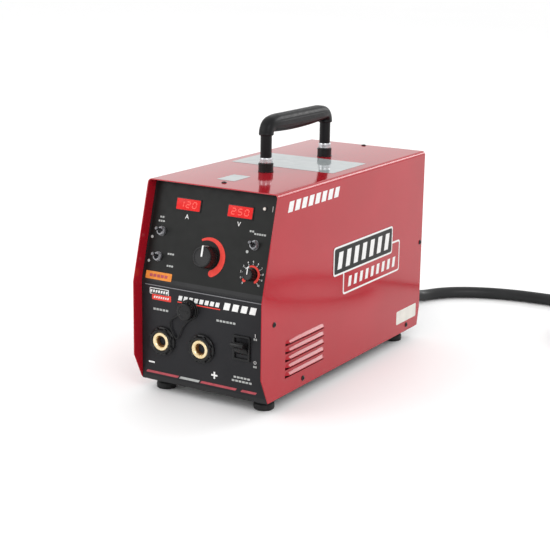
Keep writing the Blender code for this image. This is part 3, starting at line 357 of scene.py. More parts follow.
# %% [markdown]
# ## Tools for shapes
# Most pieces of a machine are either turned on a lathe, cut from sheet, or bent from round bar.
# So there are three makers: a profile spun about an axis, an outline pushed out and bevelled,
# and a round section carried along a path. Each writes straight into place, in metres.


# %% Spun, pushed and swept shapes
SHARP_ANGLE = 35


def piece(name, builder, material, body="case", sharp=SHARP_ANGLE, matrix=None):
    """An object from a bmesh, its place in its mesh, riding on a body."""
    if matrix is not None:
        builder.transform(matrix)
    bmesh.ops.recalc_face_normals(builder, faces=builder.faces)
    mesh = bpy.data.meshes.new(name)
    builder.to_mesh(mesh)
    builder.free()
    mesh.materials.append(material)
    mesh.shade_smooth()
    mesh.set_sharp_from_angle(angle=radians(sharp))
    made = bpy.data.objects.new(name, mesh)
    bpy.context.scene.collection.objects.link(made)
    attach(made, body)
    return made


def softened(points, radius, steps=3, closed=False):
    """A 2-D line with its corners rounded."""
    made = []
    count = len(points)
    for number, corner in enumerate(points):
        if not closed and number in (0, count - 1):
            made.append(tuple(corner))
            continue
        corner = Vector(corner)
        before = Vector(points[number - 1]) - corner
        after = Vector(points[(number + 1) % count]) - corner
        cut = min(radius, 0.45 * before.length, 0.45 * after.length)
        if cut < 1e-6:
            made.append(tuple(corner))
            continue
        start = corner + before.normalized() * cut
        end = corner + after.normalized() * cut
        for step in range(steps + 1):
            share = step / steps
            spot = start.lerp(corner, share).lerp(corner.lerp(end, share), share)
            made.append(tuple(spot))
    return made


def spun(profile, sides=48, ring=False, soft=0.0):
    """A bmesh: radius and height pairs turned about local Z.  A ring's profile is closed."""
    if soft:
        profile = softened(profile, soft, closed=ring)
    made = bmesh.new()
    rows = []
    for radius, height in profile:
        if radius < 1e-7:
            rows.append([made.verts.new((0, 0, height))])
            continue
        angles = [2 * pi * step / sides for step in range(sides)]
        rows.append([made.verts.new((radius * cos(a), radius * sin(a), height)) for a in angles])
    pairs = list(zip(rows, rows[1:]))
    if ring:
        pairs.append((rows[-1], rows[0]))
    for lower, upper in pairs:
        for step in range(sides):
            after = (step + 1) % sides
            if len(lower) == 1 and len(upper) == 1:
                continue
            if len(lower) == 1:
                made.faces.new((lower[0], upper[step], upper[after]))
            elif len(upper) == 1:
                made.faces.new((lower[step], lower[after], upper[0]))
            else:
                made.faces.new((lower[step], lower[after], upper[after], upper[step]))
    return made


def bevelled(made, soft, angle):
    """Soften the edges that turn by more than an angle in degrees."""
    bmesh.ops.recalc_face_normals(made, faces=made.faces)
    sharp = [edge for edge in made.edges if edge.calc_face_angle(0) > radians(angle)]
    settings = {"segments": 2, "profile": 0.5, "affect": "EDGES", "clamp_overlap": True}
    bmesh.ops.bevel(made, geom=sharp, offset=soft, **settings)


def pushed(outline, low, high, soft=0.0):
    """A bmesh: an outline in local X and Y pushed out along Z, its edges softened."""
    made = bmesh.new()
    base = made.faces.new([made.verts.new((x, y, low)) for x, y in outline])
    grown = bmesh.ops.extrude_face_region(made, geom=[base])
    moved = [part for part in grown["geom"] if isinstance(part, bmesh.types.BMVert)]
    bmesh.ops.translate(made, verts=moved, vec=(0, 0, high - low))
    if soft:
        bevelled(made, soft, 40)
    return made


def rectangle(width, height, corner=0.0, steps=4, at=(0, 0)):
    """A rectangle's outline, its corners rounded if asked."""
    x, y = width / 2, height / 2
    points = [(at[0] - x, at[1] - y), (at[0] + x, at[1] - y), (at[0] + x, at[1] + y), (at[0] - x, at[1] + y)]
    return softened(points, corner, steps, closed=True) if corner else points


def joined(builders):
    """Several bmeshes as one."""
    made = bmesh.new()
    for builder in builders:
        mesh = bpy.data.meshes.new("passing")
        builder.to_mesh(mesh)
        made.from_mesh(mesh)
        builder.free()
        bpy.data.meshes.remove(mesh)
    return made


def moved(builder, matrix):
    builder.transform(matrix)
    return builder


def smooth_path(points, spacing):
    """Evenly spaced places on a smooth curve through the given points."""
    knots = [Vector(point) for point in points]
    knots = [2 * knots[0] - knots[1]] + knots + [2 * knots[-1] - knots[-2]]
    fine = [knots[1]]
    for before, start, end, after in zip(knots, knots[1:], knots[2:], knots[3:]):
        one = start + (end - before) / 6
        two = end - (after - start) / 6
        fine += interpolate_bezier(start, one, two, end, 17)[1:]
    lengths = [0.0]
    for one, two in zip(fine, fine[1:]):
        lengths.append(lengths[-1] + (two - one).length)
    count = max(2, round(lengths[-1] / spacing))
    path = []
    index = 0
    for step in range(count + 1):
        wanted = lengths[-1] * step / count
        while lengths[index + 1] < wanted - 1e-9:
            index += 1
        share = (wanted - lengths[index]) / (lengths[index + 1] - lengths[index])
        path.append(fine[index].lerp(fine[index + 1], share))
    return path


def swept(path, section, closed=False):
    """A bmesh: for each place on the path, section(share) gives the points round it."""
    made = bmesh.new()
    count = len(path)
    side = None
    rings = []
    for number, spot in enumerate(path):
        if closed:
            ahead = path[(number + 1) % count] - path[number - 1]
        else:
            ahead = path[min(number + 1, count - 1)] - path[max(number - 1, 0)]
        ahead.normalize()
        if side is None:
            side = ahead.orthogonal().normalized()
        side = (side - ahead * side.dot(ahead)).normalized()
        other = ahead.cross(side)
        share = number / (count if closed else count - 1)
        rings.append([made.verts.new(spot + side * x + other * y) for x, y in section(share)])
    pairs = list(zip(rings, rings[1:]))
    if closed:
        pairs.append((rings[-1], rings[0]))
    for one, two in pairs:
        size = len(one)
        # The last ring of a closed sweep may have turned a little, so the nearest points join.
        shift = 0
        if one is rings[-1]:
            shift = min(range(size), key=lambda k: (one[0].co - two[k].co).length)
        for step in range(size):
            after = (step + 1) % size
            made.faces.new((one[step], one[after], two[(after + shift) % size], two[(step + shift) % size]))
    if not closed:
        made.faces.new(rings[0])
        made.faces.new(rings[-1])
    return made


def round_section(radius, sides=12):
    points = [(radius * cos(2 * pi * k / sides), radius * sin(2 * pi * k / sides)) for k in range(sides)]
    return lambda share: points


# %% [markdown]
# ## The mains cord
# A heavy rubber cord leaves the rear panel through a gland, bends down under its own weight and
# lies on the floor. The length out of sight is laid in a coil, with the plug beside it. The
# route is one smooth line, so the cord is a curve with a round bevel, and the coil's turns come
# from a loop: each turn lies on the one below and climbs to it over its last quarter.

# %% The cord's route
CORD_RADIUS = 0.0105
LYING = CORD_RADIUS + CLEARANCE
TURN_PITCH = 0.0212
COIL_MIDDLE = Vector((0.440, 0.4475, 0))
COIL_RADIUS = 0.115
COIL_TURNS = 2.25
COIL_STEPS = 24

cord_route = [
    (0.0120, 0.2828, 0.0702),
    (0.0120, 0.3080, 0.0698),
    (0.0121, 0.3330, 0.0668),
    (0.0123, 0.3580, 0.0588),
    (0.0130, 0.3830, 0.0458),
    (0.0145, 0.4050, 0.0323),
    (0.0170, 0.4250, 0.0206),
    (0.0210, 0.4440, 0.0130),
    (0.0280, 0.4640, 0.0108),
    (0.0385, 0.4830, 0.0108),
    (0.0550, 0.5030, 0.0108),
    (0.0720, 0.5170, 0.0108),
    (0.0910, 0.5290, 0.0108),
    (0.1140, 0.5400, 0.0108),
    (0.1400, 0.5490, 0.0108),
    (0.1760, 0.5570, 0.0108),
    (0.2330, 0.5620, 0.0108),
    (0.3000, 0.5625, 0.0108),
    (0.3700, 0.5625, 0.0108),
]
tail_route = [
    (0.5550, 0.3780, 0.0532),
    (0.5551, 0.3560, 0.0513),
    (0.5555, 0.3340, 0.0458),
    (0.5560, 0.3120, 0.0383),
    (0.5566, 0.2900, 0.0316),
    (0.5570, 0.2680, 0.0280),
    (0.5571, 0.2450, 0.0273),
]


def coil_points():
    points = []
    for step in range(round(COIL_TURNS * COIL_STEPS) + 1):
        turns = step / COIL_STEPS
        climb = min(1.0, max(0.0, (turns % 1 - 0.75) / 0.25))
        level = int(turns) + climb * climb * (3 - 2 * climb)
        angle = pi / 2 - 2 * pi * turns
        spot = COIL_MIDDLE + COIL_RADIUS * Vector((cos(angle), sin(angle), 0))
        spot.z = LYING + TURN_PITCH * level
        points.append(spot)
    return points


cord_path = smooth_path(cord_route + coil_points() + tail_route, 0.011)

# %% [markdown]
# A curve keeps the cord's own line, which is what a free cord is measured by.

# %% The cord, its gland and its plug
cord_curve = bpy.data.curves.new("mains_cord", "CURVE")
cord_curve.dimensions = "3D"
spline = cord_curve.splines.new("POLY")
spline.points.add(len(cord_path) - 1)
for point, spot in zip(spline.points, cord_path):
    point.co = (*spot, 1.0)
spline.use_smooth = True
cord_curve.bevel_depth = CORD_RADIUS
cord_curve.bevel_resolution = 6
cord_curve.use_fill_caps = True
cord_curve.materials.append(cord_jacket)
mains_cord = bpy.data.objects.new("mains_cord", cord_curve)
bpy.context.scene.collection.objects.link(mains_cord)
# The put-away coil would show as dark bands in the cover's glossy side, so mirrors leave it out.
mains_cord.visible_glossy = False
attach(mains_cord, "case")
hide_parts("power_cord", "cord_coil", "cord_tail")

gland_low, gland_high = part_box("cord_gland")
gland_middle = (gland_low + gland_high) / 2
REAR_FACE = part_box("rear_panel")[1].y
gland_place = place((gland_middle.x, REAR_FACE, gland_middle.z), (-1, 0, 0), (0, 0, 1))
GLAND_RADIUS = (gland_high.x - gland_low.x) / 2
GLAND_REACH = gland_high.y - REAR_FACE
gland_profile = [(CORD_RADIUS * 0.5, 0.001), (GLAND_RADIUS, 0.0005)]
gland_profile += [(GLAND_RADIUS, 0.010), (GLAND_RADIUS * 0.86, 0.011)]
RIBS = 5
for rib in range(RIBS):
    start = 0.012 + (GLAND_REACH - 0.012) * rib / RIBS
    pitch = (GLAND_REACH - 0.012) / RIBS
    wide = CORD_RADIUS * (1.36 - 0.22 * rib / RIBS)
    gland_profile += [(wide, start), (wide, start + pitch * 0.62), (wide - 0.0012, start + pitch * 0.68)]
    gland_profile += [(wide - 0.0012, start + pitch * 0.96)]
gland_profile += [(CORD_RADIUS * 0.5, GLAND_REACH)]
gland_build = spun(gland_profile, 48, ring=True, soft=0.0006)
gland = piece("cord_gland_boot", gland_build, soft_black, matrix=gland_place)
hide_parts("cord_gland")

# %% [markdown]
# The plug carries its own shapes too: a moulded body with a waist for the fingers, a ribbed
# neck, two flat blades and a round earth pin, which are plated.

# %% The plug
plug_low, plug_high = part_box("cord_plug")
PLUG_RADIUS = (plug_high.x - plug_low.x) / 2 + 0.002
plug_middle = (plug_low + plug_high) / 2
plug_place = place((plug_middle.x, plug_high.y, plug_middle.z), (1, 0, 0), (0, 0, 1))
PLUG_NECK = 0.022
PLUG_FACE = 0.064
plug_profile = [
    (0, 0.0004),
    (CORD_RADIUS * 1.15, 0.0004),
    (CORD_RADIUS * 1.30, PLUG_NECK * 0.30),
    (CORD_RADIUS * 1.12, PLUG_NECK * 0.36),
    (CORD_RADIUS * 1.12, PLUG_NECK * 0.48),
    (CORD_RADIUS * 1.38, PLUG_NECK * 0.54),
    (CORD_RADIUS * 1.38, PLUG_NECK * 0.76),
    (CORD_RADIUS * 1.20, PLUG_NECK * 0.82),
    (PLUG_RADIUS * 0.62, PLUG_NECK),
    (PLUG_RADIUS * 0.92, PLUG_NECK + 0.008),
    (PLUG_RADIUS * 0.84, PLUG_NECK + 0.018),
    (PLUG_RADIUS * 0.86, PLUG_NECK + 0.026),
    (PLUG_RADIUS * 0.98, PLUG_NECK + 0.032),
    (PLUG_RADIUS * 0.98, PLUG_FACE - 0.001),
    (PLUG_RADIUS * 0.94, PLUG_FACE),
    (0, PLUG_FACE),
]
plug = piece("cord_plug_body", spun(plug_profile, 48, soft=0.0012), soft_black, matrix=plug_place)
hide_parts("cord_plug")

blades = []
for side in (-1, 1):
    blade = pushed(rectangle(0.0018, 0.0075), PLUG_FACE - 0.001, PLUG_FACE + 0.019, soft=0.0004)
    blades.append(moved(blade, Matrix.Translation((side * 0.0095, 0.004, 0))))
pin_profile = [(0, PLUG_FACE - 0.001), (0.0032, PLUG_FACE - 0.001), (0.0032, PLUG_FACE + 0.019)]
pin_profile += [(0.0016, PLUG_FACE + 0.021), (0, PLUG_FACE + 0.021)]
pin = spun(pin_profile, 20)
blades.append(moved(pin, Matrix.Translation((0, -0.011, 0))))
plug_blades = piece("cord_plug_blades", joined(blades), plated_steel, matrix=plug_place)

# %% [markdown]
# ## Repeating a piece
# Screws, louvres, dial ticks, flutes and guard rings all repeat one small shape. Geometry Nodes
# does that from a few named numbers. Three trees do nearly all of it: a row, a ring, and a scatter onto
# chosen spots. The result is realised and turned into a plain mesh at once, because instances
# don't survive an export.


# %% The three trees
def new_tree(name, sockets):
    """An empty Geometry Nodes tree with named inputs; returns it with its two end nodes."""
    tree = bpy.data.node_groups.new(name, "GeometryNodeTree")
    tree.interface.new_socket("Geometry", in_out="INPUT", socket_type="NodeSocketGeometry")
    for label, kind in sockets.items():
        tree.interface.new_socket(label, in_out="INPUT", socket_type="NodeSocket" + kind)
    tree.interface.new_socket("Geometry", in_out="OUTPUT", socket_type="NodeSocketGeometry")
    return tree, tree.nodes.new("NodeGroupInput"), tree.nodes.new("NodeGroupOutput")


def finish_tree(tree, entry, leave, instances):
    """Realize the instances, give them their material, and send them out."""
    real = tree.nodes.new("GeometryNodeRealizeInstances")
    painted = tree.nodes.new("GeometryNodeSetMaterial")
    link(tree, instances, real.inputs["Geometry"])
    link(tree, real.outputs["Geometry"], painted.inputs["Geometry"])
    link(tree, entry.outputs["Material"], painted.inputs["Material"])
    link(tree, painted.outputs["Geometry"], leave.inputs["Geometry"])
    return tree


def arithmetic(tree, operation, one, two):
    node = tree.nodes.new("ShaderNodeMath")
    node.operation = operation
    for socket, value in zip(node.inputs, (one, two)):
        if isinstance(value, (int, float)):
            socket.default_value = value
        elif value is not None:
            link(tree, value, socket)
    return node.outputs["Value"]


def row_tree():
    """Count copies, each one Step further on."""
    tree, entry, leave = new_tree("row", {"Count": "Int", "Step": "Vector", "Material": "Material"})
    line = tree.nodes.new("GeometryNodeMeshLine")
    copies = tree.nodes.new("GeometryNodeInstanceOnPoints")
    link(tree, entry.outputs["Count"], line.inputs["Count"])
    link(tree, entry.outputs["Step"], line.inputs["Offset"])
    link(tree, line.outputs["Mesh"], copies.inputs["Points"])
    link(tree, entry.outputs["Geometry"], copies.inputs["Instance"])
    return finish_tree(tree, entry, leave, copies.outputs["Instances"])


def ring_tree():
    """Count copies turned about local Z, from Start on by Step, each Radius out."""
    sockets = {"Count": "Int", "Radius": "Float", "Start": "Float", "Step": "Float", "Material": "Material"}
    tree, entry, leave = new_tree("ring", sockets)
    dots = tree.nodes.new("GeometryNodePoints")
    index = tree.nodes.new("GeometryNodeInputIndex")
    spot = tree.nodes.new("ShaderNodeCombineXYZ")
    turn = tree.nodes.new("ShaderNodeCombineXYZ")
    copies = tree.nodes.new("GeometryNodeInstanceOnPoints")
    gone = arithmetic(tree, "MULTIPLY", index.outputs["Index"], entry.outputs["Step"])
    angle = arithmetic(tree, "ADD", gone, entry.outputs["Start"])
    across = arithmetic(tree, "COSINE", angle, None)
    along = arithmetic(tree, "SINE", angle, None)
    link(tree, arithmetic(tree, "MULTIPLY", across, entry.outputs["Radius"]), spot.inputs["X"])
    link(tree, arithmetic(tree, "MULTIPLY", along, entry.outputs["Radius"]), spot.inputs["Y"])
    link(tree, angle, turn.inputs["Z"])
    link(tree, entry.outputs["Count"], dots.inputs["Count"])
    link(tree, spot.outputs["Vector"], dots.inputs["Position"])
    link(tree, dots.outputs["Points"], copies.inputs["Points"])
    link(tree, entry.outputs["Geometry"], copies.inputs["Instance"])
    link(tree, turn.outputs["Vector"], copies.inputs["Rotation"])
    return finish_tree(tree, entry, leave, copies.outputs["Instances"])


def spots_tree():
    """A copy of Piece on every vertex, its Z along the vertex's facing."""
    tree, entry, leave = new_tree("spots", {"Piece": "Object", "Material": "Material"})
    source = tree.nodes.new("GeometryNodeObjectInfo")
    facing = tree.nodes.new("GeometryNodeInputNamedAttribute")
    facing.data_type = "FLOAT_VECTOR"
    facing.inputs["Name"].default_value = "facing"
    turned = tree.nodes.new("FunctionNodeAlignRotationToVector")
    turned.axis = "Z"
    copies = tree.nodes.new("GeometryNodeInstanceOnPoints")
    link(tree, entry.outputs["Piece"], source.inputs["Object"])
    link(tree, facing.outputs["Attribute"], turned.inputs["Vector"])
    link(tree, entry.outputs["Geometry"], copies.inputs["Points"])
    link(tree, source.outputs["Geometry"], copies.inputs["Instance"])
    link(tree, turned.outputs["Rotation"], copies.inputs["Rotation"])
    return finish_tree(tree, entry, leave, copies.outputs["Instances"])


ROW = row_tree()
RING = ring_tree()
SPOTS = spots_tree()


# %% Using a tree
def grown(name, start, tree, values, material, body, matrix=None):
    """The tree's result on the start object, as a plain mesh in place."""
    bpy.context.scene.collection.objects.link(start)
    growth = start.modifiers.new("growth", "NODES")
    growth.node_group = tree
    values = {**values, "Material": material}
    for socket in tree.interface.items_tree:
        if socket.in_out == "INPUT" and socket.name in values:
            growth[socket.identifier] = values[socket.name]
    bpy.context.view_layer.update()
    evaluated = start.evaluated_get(bpy.context.evaluated_depsgraph_get())
    mesh = bpy.data.meshes.new_from_object(evaluated)
    start.modifiers.remove(growth)
    bpy.data.objects.remove(start)
    if matrix is not None:
        mesh.transform(matrix)
    mesh.name = name
    mesh.materials.clear()
    mesh.materials.append(material)
    mesh.shade_smooth()
    mesh.set_sharp_from_angle(angle=radians(SHARP_ANGLE))
    made = bpy.data.objects.new(name, mesh)
    bpy.context.scene.collection.objects.link(made)
    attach(made, body)
    return made


def single(name, builder):
    """An unlinked object from a bmesh, its faces outward."""
    bmesh.ops.recalc_face_normals(builder, faces=builder.faces)
    mesh = bpy.data.meshes.new(name)
    builder.to_mesh(mesh)
    builder.free()
    return bpy.data.objects.new(name, mesh)


def row(name, builder, count, step, material, body="case", matrix=None):
    values = {"Count": count, "Step": Vector(step)}
    return grown(name, single(name + "_one", builder), ROW, values, material, body, matrix)


def ring(name, builder, count, radius, start, step, material, body="case", matrix=None):
    values = {"Count": count, "Radius": radius, "Start": start, "Step": step}
    return grown(name, single(name + "_one", builder), RING, values, material, body, matrix)


def at_spots(name, builder, spots, material):
    """spots: pairs of a place and the direction that the piece faces there."""
    mesh = bpy.data.meshes.new(name + "_spots")
    mesh.from_pydata([spot for spot, facing in spots], [], [])
    facings = mesh.attributes.new("facing", "FLOAT_VECTOR", "POINT")
    facings.data.foreach_set("vector", [value for spot, facing in spots for value in facing])
    one = single(name + "_one", builder)
    bpy.context.scene.collection.objects.link(one)
    made = grown(name, bpy.data.objects.new(name + "_spots", mesh), SPOTS, {"Piece": one}, material, "case")
    bpy.data.objects.remove(one)
    return made


# %% [markdown]
# ## The cover
# Top and sides are one sheet of steel, bent twice. It starts as a U-shaped section pushed along
# the case, cut to the outline of the side with a Boolean, and then its slots are cut. A second
# point just before each bend keeps the bend's shading from running out over the flat sides.


# %% The cover's sheet
def wrap_line(half, low, high, bend):
    """One side of the sheet: up the left, over the top and down the right."""
    steps = 8
    ease = 0.0008
    points = [(-half, low), (-half, high - bend - ease)]
    for step in range(steps + 1):
        angle = pi - pi / 2 * step / steps
        points.append((-half + bend + bend * cos(angle), high - bend + bend * sin(angle)))
    points.append((-half + bend + ease, high))
    return points + [(-x, z) for x, z in reversed(points)]


def cut_shape(target, tool, operation):
    """Apply a Boolean to a bmesh-built object and drop the tool."""
    for thing in (target, tool):
        if thing.name not in bpy.context.scene.collection.objects:
            bpy.context.scene.collection.objects.link(thing)
    modifier = target.modifiers.new("cut", "BOOLEAN")
    modifier.operation = operation
    modifier.object = tool
    modifier.solver = "EXACT"
    bpy.context.view_layer.update()
    evaluated = target.evaluated_get(bpy.context.evaluated_depsgraph_get())
    mesh = bpy.data.meshes.new_from_object(evaluated)
    target.modifiers.remove(modifier)
    target.data = mesh
    bpy.data.objects.remove(tool)


COVER_BEND = 0.006
TOP_SET_BACK = (TOP - CREASE) * tan(LEAN)
LOWER_CORNER = (0.0195, 0.039)
REAR_CORNER = (0.007, 0.031)
LOUVRES = 5
LOUVRE_PITCH = 0.0121
LOUVRE_LENGTH = 0.112
LOUVRE_START = 0.064
LOUVRE_LOWEST = 0.0245
LOUVRE_SLOT = 0.0055

FACING_FRONT = place((0, 0, 0), (1, 0, 0), (0, 0, 1))
FACING_RIGHT = place((0, 0, 0), (0, 1, 0), (0, 0, 1))

outer = wrap_line(CASE_HALF, BOTTOM, TOP, COVER_BEND)
inner = wrap_line(CASE_HALF - SHEET, BOTTOM, TOP - SHEET, COVER_BEND - SHEET)
sheet = single("cover_sheet", moved(pushed(outer + inner[::-1], -REAR, -FRONT), FACING_FRONT))
side_line = [
    (FRONT + LOWER_CORNER[0], BOTTOM - SHEET),
    (REAR - REAR_CORNER[0], BOTTOM - SHEET),
    (REAR, BOTTOM + REAR_CORNER[1]),
    (REAR, TOP + 0.1),
    (FRONT + TOP_SET_BACK + 0.1 * tan(LEAN), TOP + 0.1),
    (FRONT, CREASE),
    (FRONT, BOTTOM + LOWER_CORNER[1]),
]
side_cut = single("side_cut", moved(pushed(side_line, -0.2, 0.2), FACING_RIGHT))
cut_shape(sheet, side_cut, "INTERSECT")
slots = []
for level in range(LOUVRES):
    middle = BOTTOM + LOUVRE_LOWEST + level * LOUVRE_PITCH + LOUVRE_SLOT / 2
    start = FRONT + LOUVRE_START
    slot = rectangle(LOUVRE_LENGTH, LOUVRE_SLOT, at=(start + LOUVRE_LENGTH / 2, middle))
    slots.append(moved(pushed(slot, -0.2, 0.2), FACING_RIGHT))
cut_shape(sheet, single("slots", joined(slots)), "DIFFERENCE")

cover_build = bmesh.new()
cover_build.from_mesh(sheet.data)
bpy.data.objects.remove(sheet)
bmesh.ops.remove_doubles(cover_build, verts=cover_build.verts, dist=0.00001)
parts = {"verts": cover_build.verts, "edges": cover_build.edges}
bmesh.ops.dissolve_limit(cover_build, angle_limit=radians(0.5), **parts)
cover = piece("cover_wrap", cover_build, red_coat, sharp=30)
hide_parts("cover")
print("cover", len(cover.data.polygons), "faces")

# %% [markdown]
# The louvres are pressed out of the same sheet: a sloping hood over each slot that closes down to
# the sheet at both ends. One hood is lofted through stations along its length, and a row of them
# is grown on each side.


# %% The louvre hoods
# Out from the sheet, and up as a share of the hood's height: a flat slope between two bends.
HOOD_ROOT = 0.0007
HOOD_LINE = [(-0.0006, 1.30), (-0.0002, 1.28), (0.0005, 1.23)]
HOOD_LINE += [(0.0035, 0.70), (0.0038, 0.64), (0.0039, 0.58)]


def hood_shape(hand):
    made = bmesh.new()
    thick = SHEET * 0.8
    rise = LOUVRE_SLOT + 0.0016
    stations = [0, 0.0006, 0.0014, 0.0026, 0.0042, 0.0062, 0.0085]
    stations += [LOUVRE_LENGTH - spot for spot in reversed(stations)]
    rings = []
    for spot in stations:
        ease = min(1.0, min(spot, LOUVRE_LENGTH - spot) / 0.0085)
        swell = sin(ease * pi / 2) ** 0.8 if ease else 0.0
        ring_points = []
        for out, up in HOOD_LINE:
            ring_points.append(((out + HOOD_ROOT) * swell - HOOD_ROOT, rise * up))
        for out, up in reversed(HOOD_LINE):
            ring_points.append(((out + HOOD_ROOT) * swell - HOOD_ROOT - thick, rise * up - thick * 0.5))
        rings.append([made.verts.new((hand * (CASE_HALF + out), spot, up)) for out, up in ring_points])
    for one, two in zip(rings, rings[1:]):
        for step in range(len(one)):
            after = (step + 1) % len(one)
            made.faces.new((one[step], one[after], two[after], two[step]))
    made.faces.new(rings[0])
    made.faces.new(rings[-1])
    return moved(made, Matrix.Translation((0, FRONT + LOUVRE_START, BOTTOM + LOUVRE_LOWEST)))


for side, hand in (("left", -1), ("right", 1)):
    hoods = row("louvres_" + side, hood_shape(hand), LOUVRES, (0, 0, LOUVRE_PITCH), red_coat)

# %% [markdown]
# ## Screws
# Low pan-head screws hold the cover to the frame inside: two in the top, four in each side. All
# of them are one shape, placed by a list of spots with the way each one faces.


# %% The cover's screws
def screw_shape(radius, high):
    """A low domed head with a round recess."""
    profile = [
        (0, high * 0.35),
        (radius * 0.32, high * 0.35),
        (radius * 0.40, high * 0.95),
        (radius * 0.70, high * 0.85),
        (radius * 0.93, high * 0.50),
        (radius, high * 0.10),
        (radius, -0.0002),
        (0, -0.0002),
    ]
    return spun(profile, 20)


SIDE_SCREWS = [(0.032, 0.113), (0.115, 0.0116), (0.498, 0.144), (0.457, 0.010)]
cover_spots = [((0, FRONT + 0.071, TOP), (0, 0, 1)), ((0, FRONT + 0.497, TOP), (0, 0, 1))]
for hand in (-1, 1):
    for behind, height in SIDE_SCREWS:
        cover_spots.append(((hand * CASE_HALF, FRONT + behind, BOTTOM + height), (hand, 0, 0)))
cover_screws = at_spots("cover_screws", screw_shape(0.0040, 0.0019), cover_spots, moulded_black)

# %% [markdown]
# ## Printed things
# Everything printed or stuck on is a thin raised sheet: an outline pushed out by a few tenths of
# a millimetre. It stays visible in a plain mesh, and its edge catches light as a real label's.

# %% Labels on the sides
LABEL = 0.00025


def on_side(hand, behind, height):
    """A spot on a side: right is rearward on the right side, forward on the left."""
    spot = (hand * CASE_HALF, FRONT + behind, BOTTOM + height)
    return place(spot, (0, hand, 0), (0, 0, 1))


def decal(name, shapes, material, matrix, layer=0):
    """Outlines pushed out a label's thickness; layer counts the labels beneath."""
    low = 0.00004 + layer * LABEL
    parts = [pushed(shape, low, low + LABEL) for shape in shapes]
    made = piece(name, joined(parts), material, matrix=matrix)
    return made


def slanted(width, height, lean, at=(0, 0)):
    """A rectangle whose top is pushed forward by lean."""
    x, y = width / 2, height / 2
    points = [(-x - lean / 2, -y), (x - lean / 2, -y), (x + lean / 2, y), (-x + lean / 2, y)]
    return [(at[0] + px, at[1] + py) for px, py in points]


PLATE = (0.194, 0.045)
UNDERPLATE = (0.190, 0.052)
for side, hand in (("left", -1), ("right", 1)):
    spot = on_side(hand, 0.3105, 0.1515)
    shift = 0.0155
    lower = rectangle(*UNDERPLATE, 0.006, at=(shift, -0.0135))
    lower_inside = rectangle(UNDERPLATE[0] - 0.006, UNDERPLATE[1] - 0.006, 0.004, at=(shift, -0.0135))
    upper = rectangle(PLATE[0], PLATE[1], 0.006, at=(-0.0145, 0.017))
    upper_inside = rectangle(PLATE[0] - 0.006, PLATE[1] - 0.006, 0.004, at=(-0.0145, 0.017))
    decal("badge_under_rim_" + side, [lower], white_ink, spot, 0)
    decal("badge_under_face_" + side, [lower_inside], red_coat, spot, 1)
    decal("badge_rim_" + side, [upper], white_ink, spot, 2)
    decal("badge_face_" + side, [upper_inside], panel_film, spot, 3)
    bars = [slanted(0.013, 0.026, 0.005, at=(-0.0145 + step * 0.0255, 0.017)) for step in range(-3, 4)]
    decal("badge_bars_" + side, bars, white_ink, spot, 4)
    low_bars = [slanted(0.0085, 0.016, 0.003, at=(shift + step * 0.0185, -0.0215)) for step in range(-4, 5)]
    decal("badge_low_bars_" + side, low_bars, white_ink, spot, 2)
    stripe_spot = on_side(hand, 0.139, 0.2750)
    stripes = [slanted(0.0125, 0.0150, 0.005, at=(step * 0.0188, 0)) for step in range(-4, 4)]
    stripes = [[(x + hand * 0.0094, y) for x, y in stripe] for stripe in stripes]
    decal("side_stripes_" + side, stripes, white_ink, stripe_spot, 0)
    note = rectangle(0.072, 0.0225, 0.003)
    decal("rating_label_" + side, [note], pale_label, on_side(hand, 0.4555, 0.0290), 0)

on_top = place((0, 0, TOP), (1, 0, 0), (0, 1, 0))
top_label = rectangle(0.181, 0.108, 0.005, at=(-0.001, FRONT + 0.283))
decal("top_label", [top_label], silver_label, on_top, 0)
small_label = rectangle(0.030, 0.046, 0.002, at=(-0.010, FRONT + 0.112))
decal("small_top_label", [small_label], silver_label, on_top, 0)

# %% [markdown]
# ## The front panel's printed films
# The bent panel itself is plain black sheet. Over it lie two printed films: a near-black one on
# the leaning half, and a dark grey one on the upright half where the cables plug in. A red and
# white stripe runs along the bottom.

# %% Films and stripe
PANEL_WIDTH = 2 * (INNER_HALF - 0.0035)
upper_film = rectangle(PANEL_WIDTH, SLOPE - 0.010, 0.004, at=(0, SLOPE / 2 + 0.0005))
decal("upper_film", [upper_film], panel_film, on_slope(0, 0), 0)
LOWER_HEIGHT = CREASE - BOTTOM
lower_film_shape = rectangle(PANEL_WIDTH, LOWER_HEIGHT - 0.0085, 0.004, at=(0, LOWER_HEIGHT / 2 + 0.0012))
decal("lower_film", [lower_film_shape], lower_film, on_front(0, 0), 0)

crease_line = rectangle(PANEL_WIDTH - 0.006, 0.0012, at=(0, LOWER_HEIGHT - 0.0060))
decal("crease_line", [crease_line], grey_keyline, on_front(0, 0), 1)
STRIPE_LOW = 0.0110
STRIPE_HEIGHT = 0.0036
STRIPE_SLANT = 0.0030


def stripe(start, end):
    return slanted(end - start, STRIPE_HEIGHT, STRIPE_SLANT, at=((start + end) / 2, STRIPE_LOW))


red_parts = [stripe(-0.101, -0.044), stripe(-0.004, 0.057), stripe(0.066, 0.091)]
decal("stripe_red", red_parts, dark_red_ink, on_front(0, 0), 1)
decal("stripe_pale", [stripe(-0.041, -0.007)], grey_ink, on_front(0, 0), 1)

# %% [markdown]
# A welder's front is full of small legends. Real words would be a maker's own, so short bars
# stand in for them, and only plus, minus, A, V, I, O and the dial's numbers are real characters.


